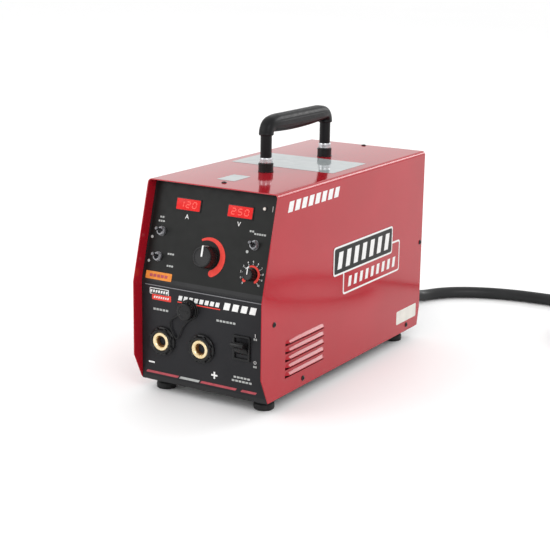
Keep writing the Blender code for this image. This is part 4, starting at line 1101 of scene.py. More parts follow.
# %% Characters
def characters(text, size, spot, out):
    """A mesh of flat letters, centred on the spot and raised by a label's thickness."""
    curve = bpy.data.curves.new("letters", "FONT")
    curve.body = text
    curve.size = size
    curve.align_x = "CENTER"
    curve.align_y = "CENTER"
    curve.extrude = LABEL / 2
    curve.resolution_u = 2
    letters = bpy.data.objects.new("letters", curve)
    bpy.context.scene.collection.objects.link(letters)
    bpy.context.view_layer.update()
    evaluated = letters.evaluated_get(bpy.context.evaluated_depsgraph_get())
    mesh = bpy.data.meshes.new_from_object(evaluated)
    made = bmesh.new()
    made.from_mesh(mesh)
    bpy.data.objects.remove(letters)
    bpy.data.meshes.remove(mesh)
    bmesh.ops.remove_doubles(made, verts=made.verts, dist=0.000002)
    made.transform(spot @ Matrix.Translation((0, 0, out + LABEL / 2)))
    return made


def bar(width, height, at):
    return rectangle(width, height, at=at)


def plus_shape(size, thick, at):
    x, y = at
    half, slim = size / 2, thick / 2
    corners = [(slim, slim), (slim, half), (-slim, half), (-slim, slim), (-half, slim), (-half, -slim)]
    corners += [(-slim, -slim), (-slim, -half), (slim, -half), (slim, -slim), (half, -slim), (half, slim)]
    return [(x + px, y + py) for px, py in corners]


# %% [markdown]
# The upright half: a badge and a name bar under the crease, a bar over each socket, the polarity
# signs, and the marks beside the power switch.

# %% Legends of the upright half
socket_low, socket_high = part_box("socket_housing_negative")
NEGATIVE = ((socket_low.x + socket_high.x) / 2, (socket_low.z + socket_high.z) / 2 - BOTTOM)
socket_low, socket_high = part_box("socket_housing_positive")
POSITIVE = ((socket_low.x + socket_high.x) / 2, (socket_low.z + socket_high.z) / 2 - BOTTOM)
RECEPTACLE = (joints["dust_cap_turn"]["pos_m"][0], joints["dust_cap_turn"]["pos_m"][2] - BOTTOM)
SWITCH = (joints["power_paddle_rock"]["pos_m"][0], joints["power_paddle_rock"]["pos_m"][2] - BOTTOM)

on_panel = on_front(0, 0)
badge_rim = rectangle(0.034, 0.0095, 0.0015, at=(-0.0775, 0.1355))
badge_under = rectangle(0.034, 0.0090, 0.0015, at=(-0.0735, 0.1270))
badge_face = rectangle(0.0315, 0.0072, 0.001, at=(-0.0775, 0.1355))
decal("front_badge_rim", [badge_rim], white_ink, on_panel, 1)
decal("front_badge_under", [badge_under], red_ink, on_panel, 1)
decal("front_badge_face", [badge_face], panel_film, on_panel, 2)
badge_bars = [slanted(0.0030, 0.0040, 0.001, at=(-0.0775 + k * 0.0046, 0.1355)) for k in range(-3, 4)]
badge_bars += [slanted(0.0022, 0.0030, 0.001, at=(-0.0735 + k * 0.0040, 0.1268)) for k in range(-3, 4)]
decal("front_badge_bars", badge_bars, white_ink, on_panel, 3)

name_bars = [slanted(0.0062, 0.0068, 0.0020, at=(-0.0400 + k * 0.0092, 0.1315)) for k in range(8)]
name_bars += [slanted(0.0098, 0.0105, 0.0030, at=(0.0405 + k * 0.0146, 0.1315)) for k in range(4)]
decal("front_name_bars", name_bars, white_ink, on_panel, 1)
name_dash = slanted(0.074, 0.0016, 0.0004, at=(-0.0080, 0.1252))
decal("front_name_dash", [name_dash], red_ink, on_panel, 1)

legends = []
for middle, count in ((-0.0750, 5), (0.0390, 6)):
    for step in range(count):
        at = (middle + (step - (count - 1) / 2) * 0.0056, 0.1085)
        legends.append(bar(0.0042, 0.0030, at))
for line, count in ((0.0300, 5), (0.0245, 6)):
    for step in range(count):
        at = (SWITCH[0] + (step - (count - 1) / 2) * 0.0058, line)
        legends.append(bar(0.0044, 0.0028, at))
for height in (SWITCH[1] + 0.0165, SWITCH[1] - 0.0240):
    legends += [bar(0.0022, 0.0030, (SWITCH[0] + 0.0205 + step * 0.0032, height)) for step in range(2)]
signs = [bar(0.0105, 0.0024, (-0.0920, 0.0260)), plus_shape(0.0105, 0.0026, (0.0196, 0.0255))]
decal("polarity_signs", signs, white_ink, on_panel, 1)
decal("front_legends", legends, grey_ink, on_panel, 1)

# %% [markdown]
# The leaning half: a bar or two by each switch, three small round marks, the orange plate, and the
# unit under each meter.

# %% Legends of the leaning half
on_lean = on_slope(0, 0)


def dot(radius, at):
    sides = 16
    points = []
    for step in range(sides):
        angle = 2 * pi * step / sides
        points.append((at[0] + radius * cos(angle), at[1] + radius * sin(angle)))
    return points


dots = [dot(0.0022, (-0.1015, 0.0640)), dot(0.0022, (-0.1014, 0.0287)), dot(0.0022, (0.0632, 0.0634))]
small_bars = []
for across, along, count in (
    (-0.0890, 0.0945, 2),
    (-0.0890, 0.0885, 3),
    (-0.0644, 0.0426, 3),
    (-0.0631, 0.0252, 3),
    (0.0660, 0.0925, 2),
    (0.0800, 0.0896, 5),
):
    for step in range(count):
        at = (across + (step - (count - 1) / 2) * 0.0040, along)
        small_bars.append(bar(0.0030, 0.0026, at))
small_bars.append(bar(0.0012, 0.0080, (0.0945, 0.1270)))
decal("lean_legends", dots + small_bars, grey_ink, on_lean, 1)
orange_plate = rectangle(0.046, 0.0115, 0.0012, at=(-0.0800, 0.0085))
decal("orange_plate", [orange_plate], orange_ink, on_lean, 1)
plate_bars = [bar(0.0050, 0.0042, (-0.0800 + k * 0.0066, 0.0085)) for k in range(-2, 3)]
decal("orange_plate_bars", plate_bars, dark_red_ink, on_lean, 2)
units = [
    characters("A", 0.0095, on_slope(-0.0460, 0.0995), LABEL),
    characters("V", 0.0095, on_slope(0.0430, 0.0995), LABEL),
]
unit_marks = piece("unit_marks", joined(units), white_ink)

# %% [markdown]
# ## The meters
# Each meter is a red window a little proud of the film, in a thin black frame, with three digits
# on it. A digit is up to seven bars, so one function draws any number.

# %% Meters
DIGIT_BARS = {
    "0": "abcdef", "1": "bc", "2": "abged", "3": "abgcd", "4": "fgbc",
    "5": "afgcd", "6": "afgedc", "7": "abc", "8": "abcdefg", "9": "abcdfg",
}


def digit_outlines(figure, width, high, at):
    """The lit bars of one seven-bar digit, leaning a little."""
    thick = width * 0.20
    x, y = width / 2, high / 2
    spans = {
        "a": (0, y, width - thick, thick),
        "g": (0, 0, width - thick, thick),
        "d": (0, -y, width - thick, thick),
        "b": (x, y / 2, thick, y - thick),
        "c": (x, -y / 2, thick, y - thick),
        "f": (-x, y / 2, thick, y - thick),
        "e": (-x, -y / 2, thick, y - thick),
    }
    made = []
    for name in DIGIT_BARS[figure]:
        cx, cy, wide, tall = spans[name]
        outline = rectangle(wide, tall, at=(cx, cy))
        made.append([(at[0] + px + py * 0.12, at[1] + py) for px, py in outline])
    return made


def build_meter(side, text):
    low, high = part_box("display_" + side)
    across = (low.x + high.x) / 2
    width = high.x - low.x - 0.005
    tall = (high.z - low.z) / cos(LEAN) * 0.70
    along = 0.117
    spot = on_slope(across, along)
    frame_outer = rectangle(width + 0.0032, tall + 0.0032, 0.0016)
    frame_inner = rectangle(width, tall, 0.0010)
    rim = moved(pushed(frame_outer, 0.0002, 0.0013, soft=0.0003), spot)
    bezel = piece("meter_frame_" + side, rim, moulded_black)
    pane = moved(pushed(frame_inner, -0.004, 0.0018, soft=0.0004), spot)
    window = piece("meter_window_" + side, pane, lit_window)
    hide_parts("display_" + side)
    strokes = []
    for number, figure in enumerate(text):
        at = ((number - 1) * width * 0.27, 0)
        strokes += digit_outlines(figure, width * 0.15, tall * 0.52, at)
    lit = joined([pushed(stroke, 0.00185, 0.0020) for stroke in strokes])
    digits = piece("meter_digits_" + side, lit, lit_digit, matrix=spot)
    return width, tall


print("meter", [round(size, 4) for size in build_meter("left", "120")])
build_meter("right", "250")

# %% [markdown]
# ## Dials and knobs
# The output dial's scale is a red crescent that widens as it turns, so the eye reads it as more.
# It is one outline: out along the outer arc, back along an inner arc whose radius shrinks.


# %% The output dial
def crescent(outer, inner_start, inner_end, start, end):
    """A band between two arcs, clockwise from start to end in degrees, with a round end."""
    steps = 40
    outside = []
    inside = []
    for step in range(steps + 1):
        share = step / steps
        angle = radians(90 - start - (end - start) * share)
        radius = inner_start + (inner_end - inner_start) * sin(share * pi / 2)
        outside.append((outer * cos(angle), outer * sin(angle)))
        inside.append((radius * cos(angle), radius * sin(angle)))
    last = radians(90 - end)
    half = (outer - inner_end) / 2
    round_end = []
    for step in range(1, 10):
        out = outer - half + half * cos(pi * step / 10)
        onward = half * sin(pi * step / 10)
        round_end.append((out * cos(last) + onward * sin(last), out * sin(last) - onward * cos(last)))
    return outside + round_end + inside[::-1]


OUTPUT_ALONG = (knob_place.z - CREASE) / cos(LEAN)
force_place = Vector(joints["force_knob_turn"]["pos_m"])
FORCE = (force_place.x, (force_place.z - CREASE) / cos(LEAN))
output_spot = on_slope(0, OUTPUT_ALONG)
force_spot = on_slope(*FORCE)
output_band = crescent(0.0288, 0.0258, 0.0190, -32, 158)
force_band = crescent(0.0135, 0.0112, 0.0097, -25, 142)
force_first = crescent(0.0135, 0.0115, 0.0115, -85, -32)
decal("output_scale", [output_band], red_ink, output_spot, 1)
decal("force_scale", [force_band], red_ink, force_spot, 1)
decal("force_scale_start", [force_first], white_ink, force_spot, 1)
decal("force_scale_dot", [dot(0.0030, (-0.0112, -0.0085))], red_ink, force_spot, 1)

# %% [markdown]
# The small dial has ticks and numbers all round. The ticks are one bar in a ring.

# %% Ticks and numbers of the force dial
TICKS = 11
FIRST_TICK = radians(90 + 135)
TICK_STEP = -radians(27)
tick = pushed(rectangle(0.0020, 0.0006), LABEL, 2 * LABEL)
tick_ring = ring("force_ticks", tick, TICKS, 0.0152, FIRST_TICK, TICK_STEP, white_ink, matrix=force_spot)
numbers = []
for number in range(TICKS):
    angle = FIRST_TICK + TICK_STEP * number
    spot = force_spot @ Matrix.Translation((0.0186 * cos(angle), 0.0186 * sin(angle), 0))
    numbers.append(characters(str(number), 0.0042, spot, LABEL))
force_numbers = piece("force_numbers", joined(numbers), white_ink)

# %% [markdown]
# A knob is a turned body with a ring of flutes for the fingers, a shallow dish in its end, and a
# white line that points at the scale. The line and flutes turn with it.


# %% Knobs
def build_knob(body, radius, high, flutes):
    spot = on_slope(0, OUTPUT_ALONG) if body == "output_knob" else on_slope(*FORCE)
    low = 0.0009
    profile = [
        (0, high * 0.5),
        (radius * 0.22, high * 0.5),
        (radius * 0.22, low),
        (radius, low),
        (radius, high * 0.13),
        (radius * 0.955, high * 0.19),
        (radius * 0.935, high * 0.93),
        (radius * 0.880, high),
        (radius * 0.760, high),
        (radius * 0.700, high * 0.965),
        (0, high * 0.965),
    ]
    core = spun(softened(profile, 0.0006), 64)
    knob = piece(body + "_cap", core, moulded_black, body, matrix=spot)
    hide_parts(body)
    wide = pi * radius * 0.95 / flutes
    flute = bmesh.new()
    lengthways = [(-0.0008, high * 0.20), (0.0005, high * 0.25)]
    lengthways += [(0.0003, high * 0.90), (-0.0010, high * 0.96)]
    rows_made = []
    for out, up in lengthways:
        corners = [(out - 0.0006 * side * side, side * wide * 0.5, up) for side in (-1, 0, 1)]
        rows_made.append([flute.verts.new(corner) for corner in corners])
    for one, two in zip(rows_made, rows_made[1:]):
        for k in range(2):
            flute.faces.new((one[k], one[k + 1], two[k + 1], two[k]))
    backs = [row_made[0] for row_made in rows_made] + [row_made[2] for row_made in reversed(rows_made)]
    flute.faces.new(backs)
    flute.faces.new(rows_made[0])
    flute.faces.new(rows_made[-1])
    turn = 2 * pi / flutes
    around = ring(body + "_flutes", flute, flutes, radius * 0.945, 0, turn, moulded_black, body, matrix=spot)
    line = [
        pushed(rectangle(radius * 0.15, radius * 0.93, at=(0, radius * 0.475)), high * 0.90, high + 0.0003),
        pushed(rectangle(radius * 0.15, radius * 0.10, at=(0, radius * 0.930)), high * 0.20, high * 0.96),
    ]
    pointer = piece(body + "_pointer", joined(line), white_ink, body, matrix=spot)


build_knob("output_knob", 0.0165, 0.0180, 28)
build_knob("force_knob", 0.0088, 0.0135, 16)

# %% [markdown]
# ## Toggle switches
# A toggle is held by a hexagonal nut on a threaded bushing, and its lever is a slim bat with a
# round end. The thread is a stack of fine ridges in the turned profile.


# %% Toggles
def hexagon(across_flats):
    radius = across_flats / 2 / cos(pi / 6)
    return [(radius * cos(pi / 3 * k + pi / 6), radius * sin(pi / 3 * k + pi / 6)) for k in range(6)]


def build_toggle(side):
    joint = joints[side + "_lever_tilt"]
    pivot = Vector(joint["pos_m"])
    face = on_slope(0, 0)
    out = face.col[2].to_3d()
    spot = face.copy()
    spot.translation = pivot - out * 0.0010
    nut = pushed(hexagon(0.0122), 0.0003, 0.0030, soft=0.0004)
    washer = spun([(0.0040, 0.0002), (0.0072, 0.0002), (0.0072, 0.0009), (0.0040, 0.0009)], 40, ring=True)
    # Behind the panel is the switch's can; a threaded neck comes out through the panel.
    turned = [(0, -0.0120), (0.0075, -0.0120), (0.0075, -0.0026), (0.0056, -0.0025), (0.0056, 0.0008)]
    for turn in range(5):
        turned += [(0.0058, 0.0010 + turn * 0.0010), (0.0054, 0.0015 + turn * 0.0010)]
    turned += [(0.0056, 0.0060), (0.0041, 0.0060), (0.0041, -0.0034), (0, -0.0034)]
    base_build = joined([nut, washer, spun(turned, 40)])
    base = piece("toggle_base_" + side, base_build, switch_steel, matrix=spot)
    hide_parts("toggle_body_" + side)
    lever_place = Matrix.Translation(out * 0.0010) @ spot @ Matrix.Rotation(-radians(12), 4, "X")
    profile = [(0, -0.0034)]
    for step in range(1, 6):
        angle = pi * step / 7
        profile.append((0.0034 * sin(angle), -0.0034 * cos(angle)))
    profile += [(0.0015, 0.0036), (0.0019, 0.0080), (0.0026, 0.0120), (0.0028, 0.0140)]
    profile += [(0.0024, 0.0156), (0.0013, 0.0163), (0, 0.0165)]
    lever = piece("toggle_bat_" + side, spun(profile, 24), switch_steel, side + "_lever", matrix=lever_place)
    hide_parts("toggle_lever_" + side)


for side in ("upper_left", "lower_left", "right"):
    build_toggle(side)

# %% [markdown]
# ## The status lamp
# A small domed lens in a dark collar, at the top right of the panel.

# %% Status lamp
LAMP = (0.0815, 0.1260)
lens_profile = [(0, 0.0030)]
for step in range(1, 6):
    angle = pi / 2 * step / 5
    lens_profile.append((0.0024 * sin(angle), 0.0012 + 0.0018 * cos(angle)))
lens_profile += [(0.0024, -0.0080), (0, -0.0080)]
lens = piece("status_lens", spun(lens_profile, 24), amber_lamp, matrix=on_slope(*LAMP))
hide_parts("status_lamp")
collar = spun([(0.0025, 0.0003), (0.0040, 0.0003), (0.0037, 0.0011), (0.0025, 0.0012)], 32, ring=True)
lamp_collar = piece("status_collar", collar, moulded_black, matrix=on_slope(*LAMP))

# %% [markdown]
# ## The weld sockets
# Heavy currents leave through two quick-connect sockets. The moulded housing has a flange with
# notches that keep it from turning and a raised rim round the brass. The brass is turned, with
# a chamfered mouth and a deep bore that has a locking groove.


# %% Sockets
def build_socket(side, across, height):
    spot = on_front(across, height)
    rim = 0.0090
    bore = 0.0138 + CLEARANCE
    housing = [
        (bore, -0.0215),
        (0.0172, -0.0215),
        (0.0172, CLEARANCE),
        (0.0215, CLEARANCE),
        (0.0215, 0.0030),
        (0.0205, 0.0042),
        (0.0192, 0.0046),
        (0.0188, 0.0052),
        (0.0183, 0.0080),
        (0.0174, rim),
        (0.0152, rim),
        (0.0145, rim - 0.0008),
        (bore, rim - 0.0012),
    ]
    shell = piece("socket_shell_" + side, spun(housing, 64, ring=True), moulded_black, matrix=spot)
    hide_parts("socket_housing_" + side)
    notch = pushed(rectangle(0.0030, 0.0042, 0.0006), 0.0030, 0.0078, soft=0.0004)
    notches = ring("socket_lugs_" + side, notch, 8, 0.0192, pi / 8, pi / 4, moulded_black, matrix=spot)
    brass_face = 0.0078
    insert = [
        (0, -0.0430),
        (0.0045, -0.0430),
        (0.0045, -0.0235),
        (0.0138, -0.0235),
        (0.0138, brass_face - 0.0006),
        (0.0132, brass_face),
        (0.0094, brass_face),
        (0.0079, brass_face - 0.0016),
        (0.0077, brass_face - 0.0030),
        (0.0077, -0.0040),
        (0.0086, -0.0046),
        (0.0086, -0.0080),
        (0.0077, -0.0086),
        (0.0077, -0.0170),
        (0, -0.0170),
    ]
    brass = piece("socket_brass_" + side, spun(insert, 64), turned_brass, matrix=spot)
    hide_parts("socket_insert_" + side)
    # A dark brown sleeve covers the brass inside the bore: painted shade for the deep bore's inside.
    bore_shade_profile = [(0.0076, -0.0165), (0.00775, 0.0048), (0.0070, 0.0050), (0.0068, 0.0040)]
    bore_shade_profile += [(0.0066, -0.0160), (0, -0.0160), (0, -0.0165)]
    sleeve = piece("socket_lining_" + side, spun(bore_shade_profile, 48), bore_painted_shade, matrix=spot)


build_socket("negative", *NEGATIVE)
build_socket("positive", *POSITIVE)

# %% [markdown]
# ## The capped receptacle
# A remote control plugs in above the sockets. Its screwed cap keeps dust out, with a ribbed edge
# to grip, and hangs on a thin lanyard when it's off. The lanyard is a closed loop, so its sweep
# joins its last ring to its first.

# %% Receptacle, cap and lanyard
cap_spot = on_front(*RECEPTACLE)
barrel = [
    (0, -0.0120),
    (0.0107, -0.0120),
    (0.0107, CLEARANCE),
    (0.0155, CLEARANCE),
    (0.0155, 0.0015),
    (0.0150, 0.0020),
    (0.0107, 0.0020),
]
for turn in range(7):
    barrel += [(0.0107, 0.0030 + turn * 0.0011), (0.0103, 0.00355 + turn * 0.0011)]
barrel += [(0.0107, 0.0108), (0.0105, 0.0110), (0.0087, 0.0110), (0.0087, 0.0020), (0, 0.0020)]
receptacle = piece("receptacle_barrel", spun(barrel, 48), moulded_black, matrix=cap_spot)
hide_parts("remote_receptacle")
cap_profile = [
    (0, 0.0113),
    (0.0110, 0.0113),
    (0.0110, 0.0051),
    (0.0126, 0.0051),
    (0.0126, 0.0142),
    (0.0121, 0.0151),
    (0.0112, 0.0155),
    (0.0088, 0.0155),
    (0.0084, 0.0150),
    (0, 0.0150),
]
cap = piece("dust_cap_shell", spun(cap_profile, 64), moulded_black, "dust_cap", matrix=cap_spot)
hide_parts("receptacle_cap")
CAP_RIBS = 30
rib = pushed(rectangle(0.0008, 0.0014), 0.0054, 0.0140, soft=0.0002)
rib_turn = 2 * pi / CAP_RIBS
cap_ribs = ring("dust_cap_ribs", rib, CAP_RIBS, 0.0126, 0, rib_turn, moulded_black, "dust_cap", cap_spot)
grip_bar = pushed(rectangle(0.0155, 0.0030, 0.0012), 0.0148, 0.0155, soft=0.0003)
cap_bar = piece("dust_cap_bar", grip_bar, moulded_black, "dust_cap", matrix=cap_spot)

LANYARD_RADIUS = 0.0011
LANYARD_OUT = 0.0034
loop = []
for step in range(9):
    angle = radians(-60 + 32 * step)
    loop.append((0.01265 * cos(angle), 0.01265 * sin(angle), LANYARD_OUT))
hanging = [(-20, -12), (-29, -18), (-33, -25), (-31, -33), (-26.5, -41), (-22.5, -46), (-18, -44)]
hanging += [(-14, -35), (-9, -26), (-2, -18)]
loop += [(x / 1000, y / 1000, LANYARD_OUT) for x, y in hanging]


def closed_path(points):
    """A smooth closed line through the points."""
    steps = 5
    count = len(points)
    knots = [Vector(point) for point in points]
    path = []
    for number in range(count):
        before, start, end, after = (knots[(number + k - 1) % count] for k in range(4))
        one = start + (end - before) / 6
        two = end - (after - start) / 6
        path += interpolate_bezier(start, one, two, end, steps + 1)[:-1]
    return path


lanyard_build = swept(closed_path(loop), round_section(LANYARD_RADIUS, 10), closed=True)
lanyard = piece("lanyard_loop", lanyard_build, soft_black, matrix=cap_spot)
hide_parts("cap_lanyard")

# %% [markdown]
# ## The power switch
# A big rocker with a handle on it, like a breaker's, sits in the window of a flanged box. The
# box is made of frames: an outline with a hole in it, pushed out, needs four strips of faces.


# %% Switch
def framed(outer, inner, low, high, soft=0.0):
    """A bmesh: the band between two outlines with as many points, pushed from low to high."""
    made = bmesh.new()
    loops = []
    for outline, level in ((outer, low), (outer, high), (inner, high), (inner, low)):
        loops.append([made.verts.new((x, y, level)) for x, y in outline])
    for one, two in zip(loops, loops[1:] + loops[:1]):
        for step in range(len(one)):
            after = (step + 1) % len(one)
            made.faces.new((one[step], one[after], two[after], two[step]))
    if soft:
        bevelled(made, soft, 60)
    return made


SWITCH_WIDTH, SWITCH_HEIGHT = 0.029, 0.037
SWITCH_WALL = 0.0035
SWITCH_DEPTH = 0.022
PADDLE_PIVOT = 0.007
PADDLE_TILT = radians(20)
switch_spot = on_front(*SWITCH)
window_size = (SWITCH_WIDTH - 2 * SWITCH_WALL, SWITCH_HEIGHT - 2 * SWITCH_WALL)
window_edge = rectangle(*window_size, 0.0006, 4)
flange_edge = rectangle(SWITCH_WIDTH, SWITCH_HEIGHT, 0.0022, 4)
well_edge = rectangle(SWITCH_WIDTH - SWITCH_WALL, SWITCH_HEIGHT - SWITCH_WALL, 0.0008, 4)
switch_parts = [
    framed(flange_edge, window_edge, CLEARANCE, 0.0033, soft=0.0006),
    framed(well_edge, window_edge, 0.0012 - SWITCH_DEPTH, 0.0010),
    pushed(well_edge, -SWITCH_DEPTH, 0.0012 - SWITCH_DEPTH),
]
switch_box = piece("switch_box", joined(switch_parts), moulded_black, matrix=switch_spot)
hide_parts("power_switch_body")

paddle_half = window_size[0] / 2 - CLEARANCE
paddle_outline = []
for step in range(29):
    angle = radians(25) + 2 * pi * (1 - 50 / 360) * step / 28
    paddle_outline.append((0.0120 * cos(angle), 0.0120 * sin(angle)))
paddle_outline += [(0.0160, -0.0036), (0.0225, -0.0030), (0.0246, -0.0020), (0.0250, 0.0)]
paddle_outline += [(0.0246, 0.0020), (0.0225, 0.0030), (0.0160, 0.0036)]
axle = switch_spot @ Matrix.Translation((0, 0, -PADDLE_PIVOT)) @ Matrix.Rotation(-PADDLE_TILT, 4, "X")
axle = axle @ place((0, 0, 0), (0, 0, 1), (0, 1, 0))
paddle_build = pushed(paddle_outline, -paddle_half, paddle_half, soft=0.0005)
paddle = piece("switch_paddle", paddle_build, moulded_black, "power_paddle", matrix=axle, sharp=50)
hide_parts("power_switch_paddle")
PADDLE_GRIPS = 4
grip_line = pushed(rectangle(0.0008, 0.0008, 0.0002), -paddle_half * 0.8, paddle_half * 0.8)
grip_line = moved(grip_line, Matrix.Translation((0.0172, 0.0034, 0)))
grip_step = (0.0018, -0.0001, 0)
paddle_grips = row("paddle_grips", grip_line, PADDLE_GRIPS, grip_step, moulded_black, "power_paddle", axle)
switch_marks = [
    characters("I", 0.0075, on_front(SWITCH[0] + 0.0220, SWITCH[1] + 0.0215), LABEL),
    characters("O", 0.0065, on_front(SWITCH[0] + 0.0220, SWITCH[1] - 0.0180), LABEL),
]
switch_sign = piece("switch_marks", joined(switch_marks), white_ink)

# %% [markdown]
# ## The carrying handle
# Two posts stand on the cover, each through a moulded boss and a bright collar. The grip slips
# over both: an oval bar, thicker in its middle, that turns down into an elbow at each end. It is
# lofted, with fine flutes that fade out before the elbows.

# %% The handle's fittings
boss_low, boss_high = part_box("handle_boss_front")
rear_low, rear_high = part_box("handle_boss_rear")
post_ends = [(boss_low.y + boss_high.y) / 2, (rear_low.y + rear_high.y) / 2]
HANDLE_MIDDLE = sum(post_ends) / 2
HANDLE_HALF = (post_ends[1] - post_ends[0]) / 2
POST_RADIUS = 0.0086
POST_BORE = POST_RADIUS + CLEARANCE
LIP_HEIGHT = 0.056

boss_profile = [
    (POST_BORE, CLEARANCE),
    (0.0117, CLEARANCE),
    (0.0117, 0.0016),
    (0.0113, 0.0020),
    (0.0113, 0.0110),
    (0.0116, 0.0114),
    (0.0116, 0.0127),
    (0.0106, 0.0135),
    (POST_BORE, 0.0135),
]
collar_profile = [
    (POST_BORE, 0.0138),
    (0.0095, 0.0138),
    (0.0098, 0.0142),
    (0.0098, 0.0168),
    (0.0094, 0.0172),
    (0.0094, 0.0184),
    (0.0098, 0.0188),
    (0.0098, 0.0212),
    (0.0094, 0.0218),
    (POST_BORE, 0.0218),
]
for end, along in zip(("front", "rear"), post_ends):
    stand = Matrix.Translation((0, along, TOP))
    boss = piece("boss_" + end, spun(boss_profile, 48, ring=True), moulded_black, matrix=stand)
    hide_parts("handle_boss_" + end)
    band = piece("collar_" + end, spun(collar_profile, 48, ring=True), plated_steel, matrix=stand)
    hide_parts("handle_collar_" + end)
    post_top = LIP_HEIGHT - CLEARANCE
    post_profile = [(0, CLEARANCE), (POST_RADIUS, CLEARANCE), (POST_RADIUS, post_top), (0, post_top)]
    post = piece("post_" + end, spun(post_profile, 48), grip_moulding, matrix=stand)
    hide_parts("handle_post_" + end)

# %% The grip
GRIP_WIDE, GRIP_THICK = 0.0130, 0.0142
GRIP_TOP = 0.0845 - GRIP_THICK
ELBOW = 0.013
END_THICK = 0.0099
FLUTES = 20
GRIP_SIDES = 80


def grip_stations():
    """Along, height and lean of each section, from the rear elbow to the front one."""
    made = [(HANDLE_HALF, LIP_HEIGHT + 0.0002, 0.0)]
    for step in range(13):
        angle = pi / 2 * step / 12
        high = GRIP_TOP - ELBOW * (1 - sin(angle))
        made.append((HANDLE_HALF - ELBOW * (1 - cos(angle)), max(high, LIP_HEIGHT + 0.0012), angle))
    straight = HANDLE_HALF - ELBOW
    for step in range(1, 12):
        made.append((straight * (1 - step / 12), GRIP_TOP, pi / 2))
    mirrored = [(-along, high, pi - angle) for along, high, angle in reversed(made)]
    return made + [(0, GRIP_TOP, pi / 2)] + mirrored


grip_build = bmesh.new()
grip_rings = []
for along, high, angle in grip_stations():
    swell = min(1.0, 2.2 * (1 - (along / HANDLE_HALF) ** 2))
    belly = max(0.0, cos((along + 0.012) / HANDLE_HALF * pi / 2)) ** 0.8
    thick = END_THICK + (GRIP_THICK - END_THICK) * swell
    under = END_THICK * 0.92 + (GRIP_THICK - END_THICK * 0.92) * belly
    wide = GRIP_WIDE * (0.84 + 0.16 * swell)
    fluted = 0.00022 * min(1.0, max(0.0, (HANDLE_HALF - ELBOW - abs(along)) / 0.012))
    section = []
    for side in range(GRIP_SIDES):
        around = 2 * pi * side / GRIP_SIDES
        less = 1 - fluted * (1 + cos(FLUTES * around)) / wide
        # A squarer section than an ellipse fills the hand.
        across = wide * less * (abs(cos(around)) ** 0.86) * (1 if cos(around) > 0 else -1)
        out = less * (abs(sin(around)) ** 0.86) * (thick if sin(around) > 0 else -under)
        spot = (across, along + out * cos(angle), high + out * sin(angle))
        section.append(grip_build.verts.new(spot))
    grip_rings.append(section)
for one, two in zip(grip_rings, grip_rings[1:]):
    for side in range(GRIP_SIDES):
        after = (side + 1) % GRIP_SIDES
        grip_build.faces.new((one[side], one[after], two[after], two[side]))
grip_build.faces.new(grip_rings[0])
grip_build.faces.new(grip_rings[-1])
grip_place = Matrix.Translation((0, HANDLE_MIDDLE, TOP))
grip = piece("grip_bar", grip_build, grip_moulding, matrix=grip_place, sharp=50)
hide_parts("handle_grip")

lips = []
for direction in (-1, 1):
    lip_profile = [(0.0092, 0.0), (0.0104, 0.0), (0.0112, 0.0010)]
    lip_profile += [(0.0112, 0.0030), (0.0104, 0.0042), (0.0092, 0.0046)]
    lip = spun(lip_profile, 48, ring=True)
    lips.append(moved(lip, Matrix.Translation((0, direction * HANDLE_HALF, LIP_HEIGHT - 0.0008))))
grip_lips = piece("grip_lips", joined(lips), grip_moulding, matrix=grip_place)

# %% [markdown]
# ## Feet
# Rubber feet, turned, with a moulded ring and a hollow for the screw underneath.

# %% Feet
foot_profile = [
    (0, 0.0045),
    (0.0050, 0.0045),
    (0.0056, 0.0002),
    (0.0136, 0.0),
    (0.0148, 0.0010),
    (0.0152, 0.0030),
    (0.0152, 0.0070),
    (0.0146, 0.0092),
    (0.0128, 0.0106),
    (0.0122, 0.0125),
    (0.0122, 0.0182),
    (0, 0.0182),
]
for end in ("front", "rear"):
    for hand in ("left", "right"):
        low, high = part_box("foot_" + end + "_" + hand)
        stand = Matrix.Translation(((low.x + high.x) / 2, (low.y + high.y) / 2, 0))
        foot_build = spun(foot_profile, 48, soft=0.0004)
        foot = piece("foot_rubber_" + end + "_" + hand, foot_build, soft_black, matrix=stand)
        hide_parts("foot_" + end + "_" + hand)

# %% [markdown]
# ## The back
# Air leaves through a fan in the rear panel. Seven blades are one lofted blade in a ring: its
# angle flattens towards the tip, as a real fan's does, so that the whole blade moves air evenly.

# %% Fan
fan_axis_place = Vector(joints["fan_spin"]["pos_m"])
fan_spot = place((0, REAR_FACE, fan_axis_place.z), (-1, 0, 0), (0, 0, 1))
FAN_HUB = 0.020
FAN_TIP = 0.0545
FAN_LOW, FAN_HIGH = -0.0220, -0.0027
FAN_BLADES = 7


def blade_shape():
    made = bmesh.new()
    sections = []
    for step in range(9):
        share = step / 8
        radius = FAN_HUB * 0.9 + (FAN_TIP - FAN_HUB * 0.9) * share
        pitch = radians(52 - 20 * share)
        chord = 0.0200 + 0.0060 * share
        section = []
        for way in (1, -1):
            for k in range(9):
                along = (k / 8 - 0.5) * way
                camber = 0.0026 * (1 - 4 * along * along)
                across = camber + way * 0.00065 * (1 - (2 * abs(along)) ** 4)
                x = chord * along
                side = x * cos(pitch) - across * sin(pitch) + 0.0050 * share
                up = x * sin(pitch) + across * cos(pitch)
                section.append(made.verts.new((radius, side, up + (FAN_LOW + FAN_HIGH) / 2)))
        sections.append(section)
    for one, two in zip(sections, sections[1:]):
        for k in range(len(one)):
            after = (k + 1) % len(one)
            made.faces.new((one[k], one[after], two[after], two[k]))
    made.faces.new(sections[0])
    made.faces.new(sections[-1])
    bmesh.ops.remove_doubles(made, verts=made.verts, dist=0.00002)
    return made


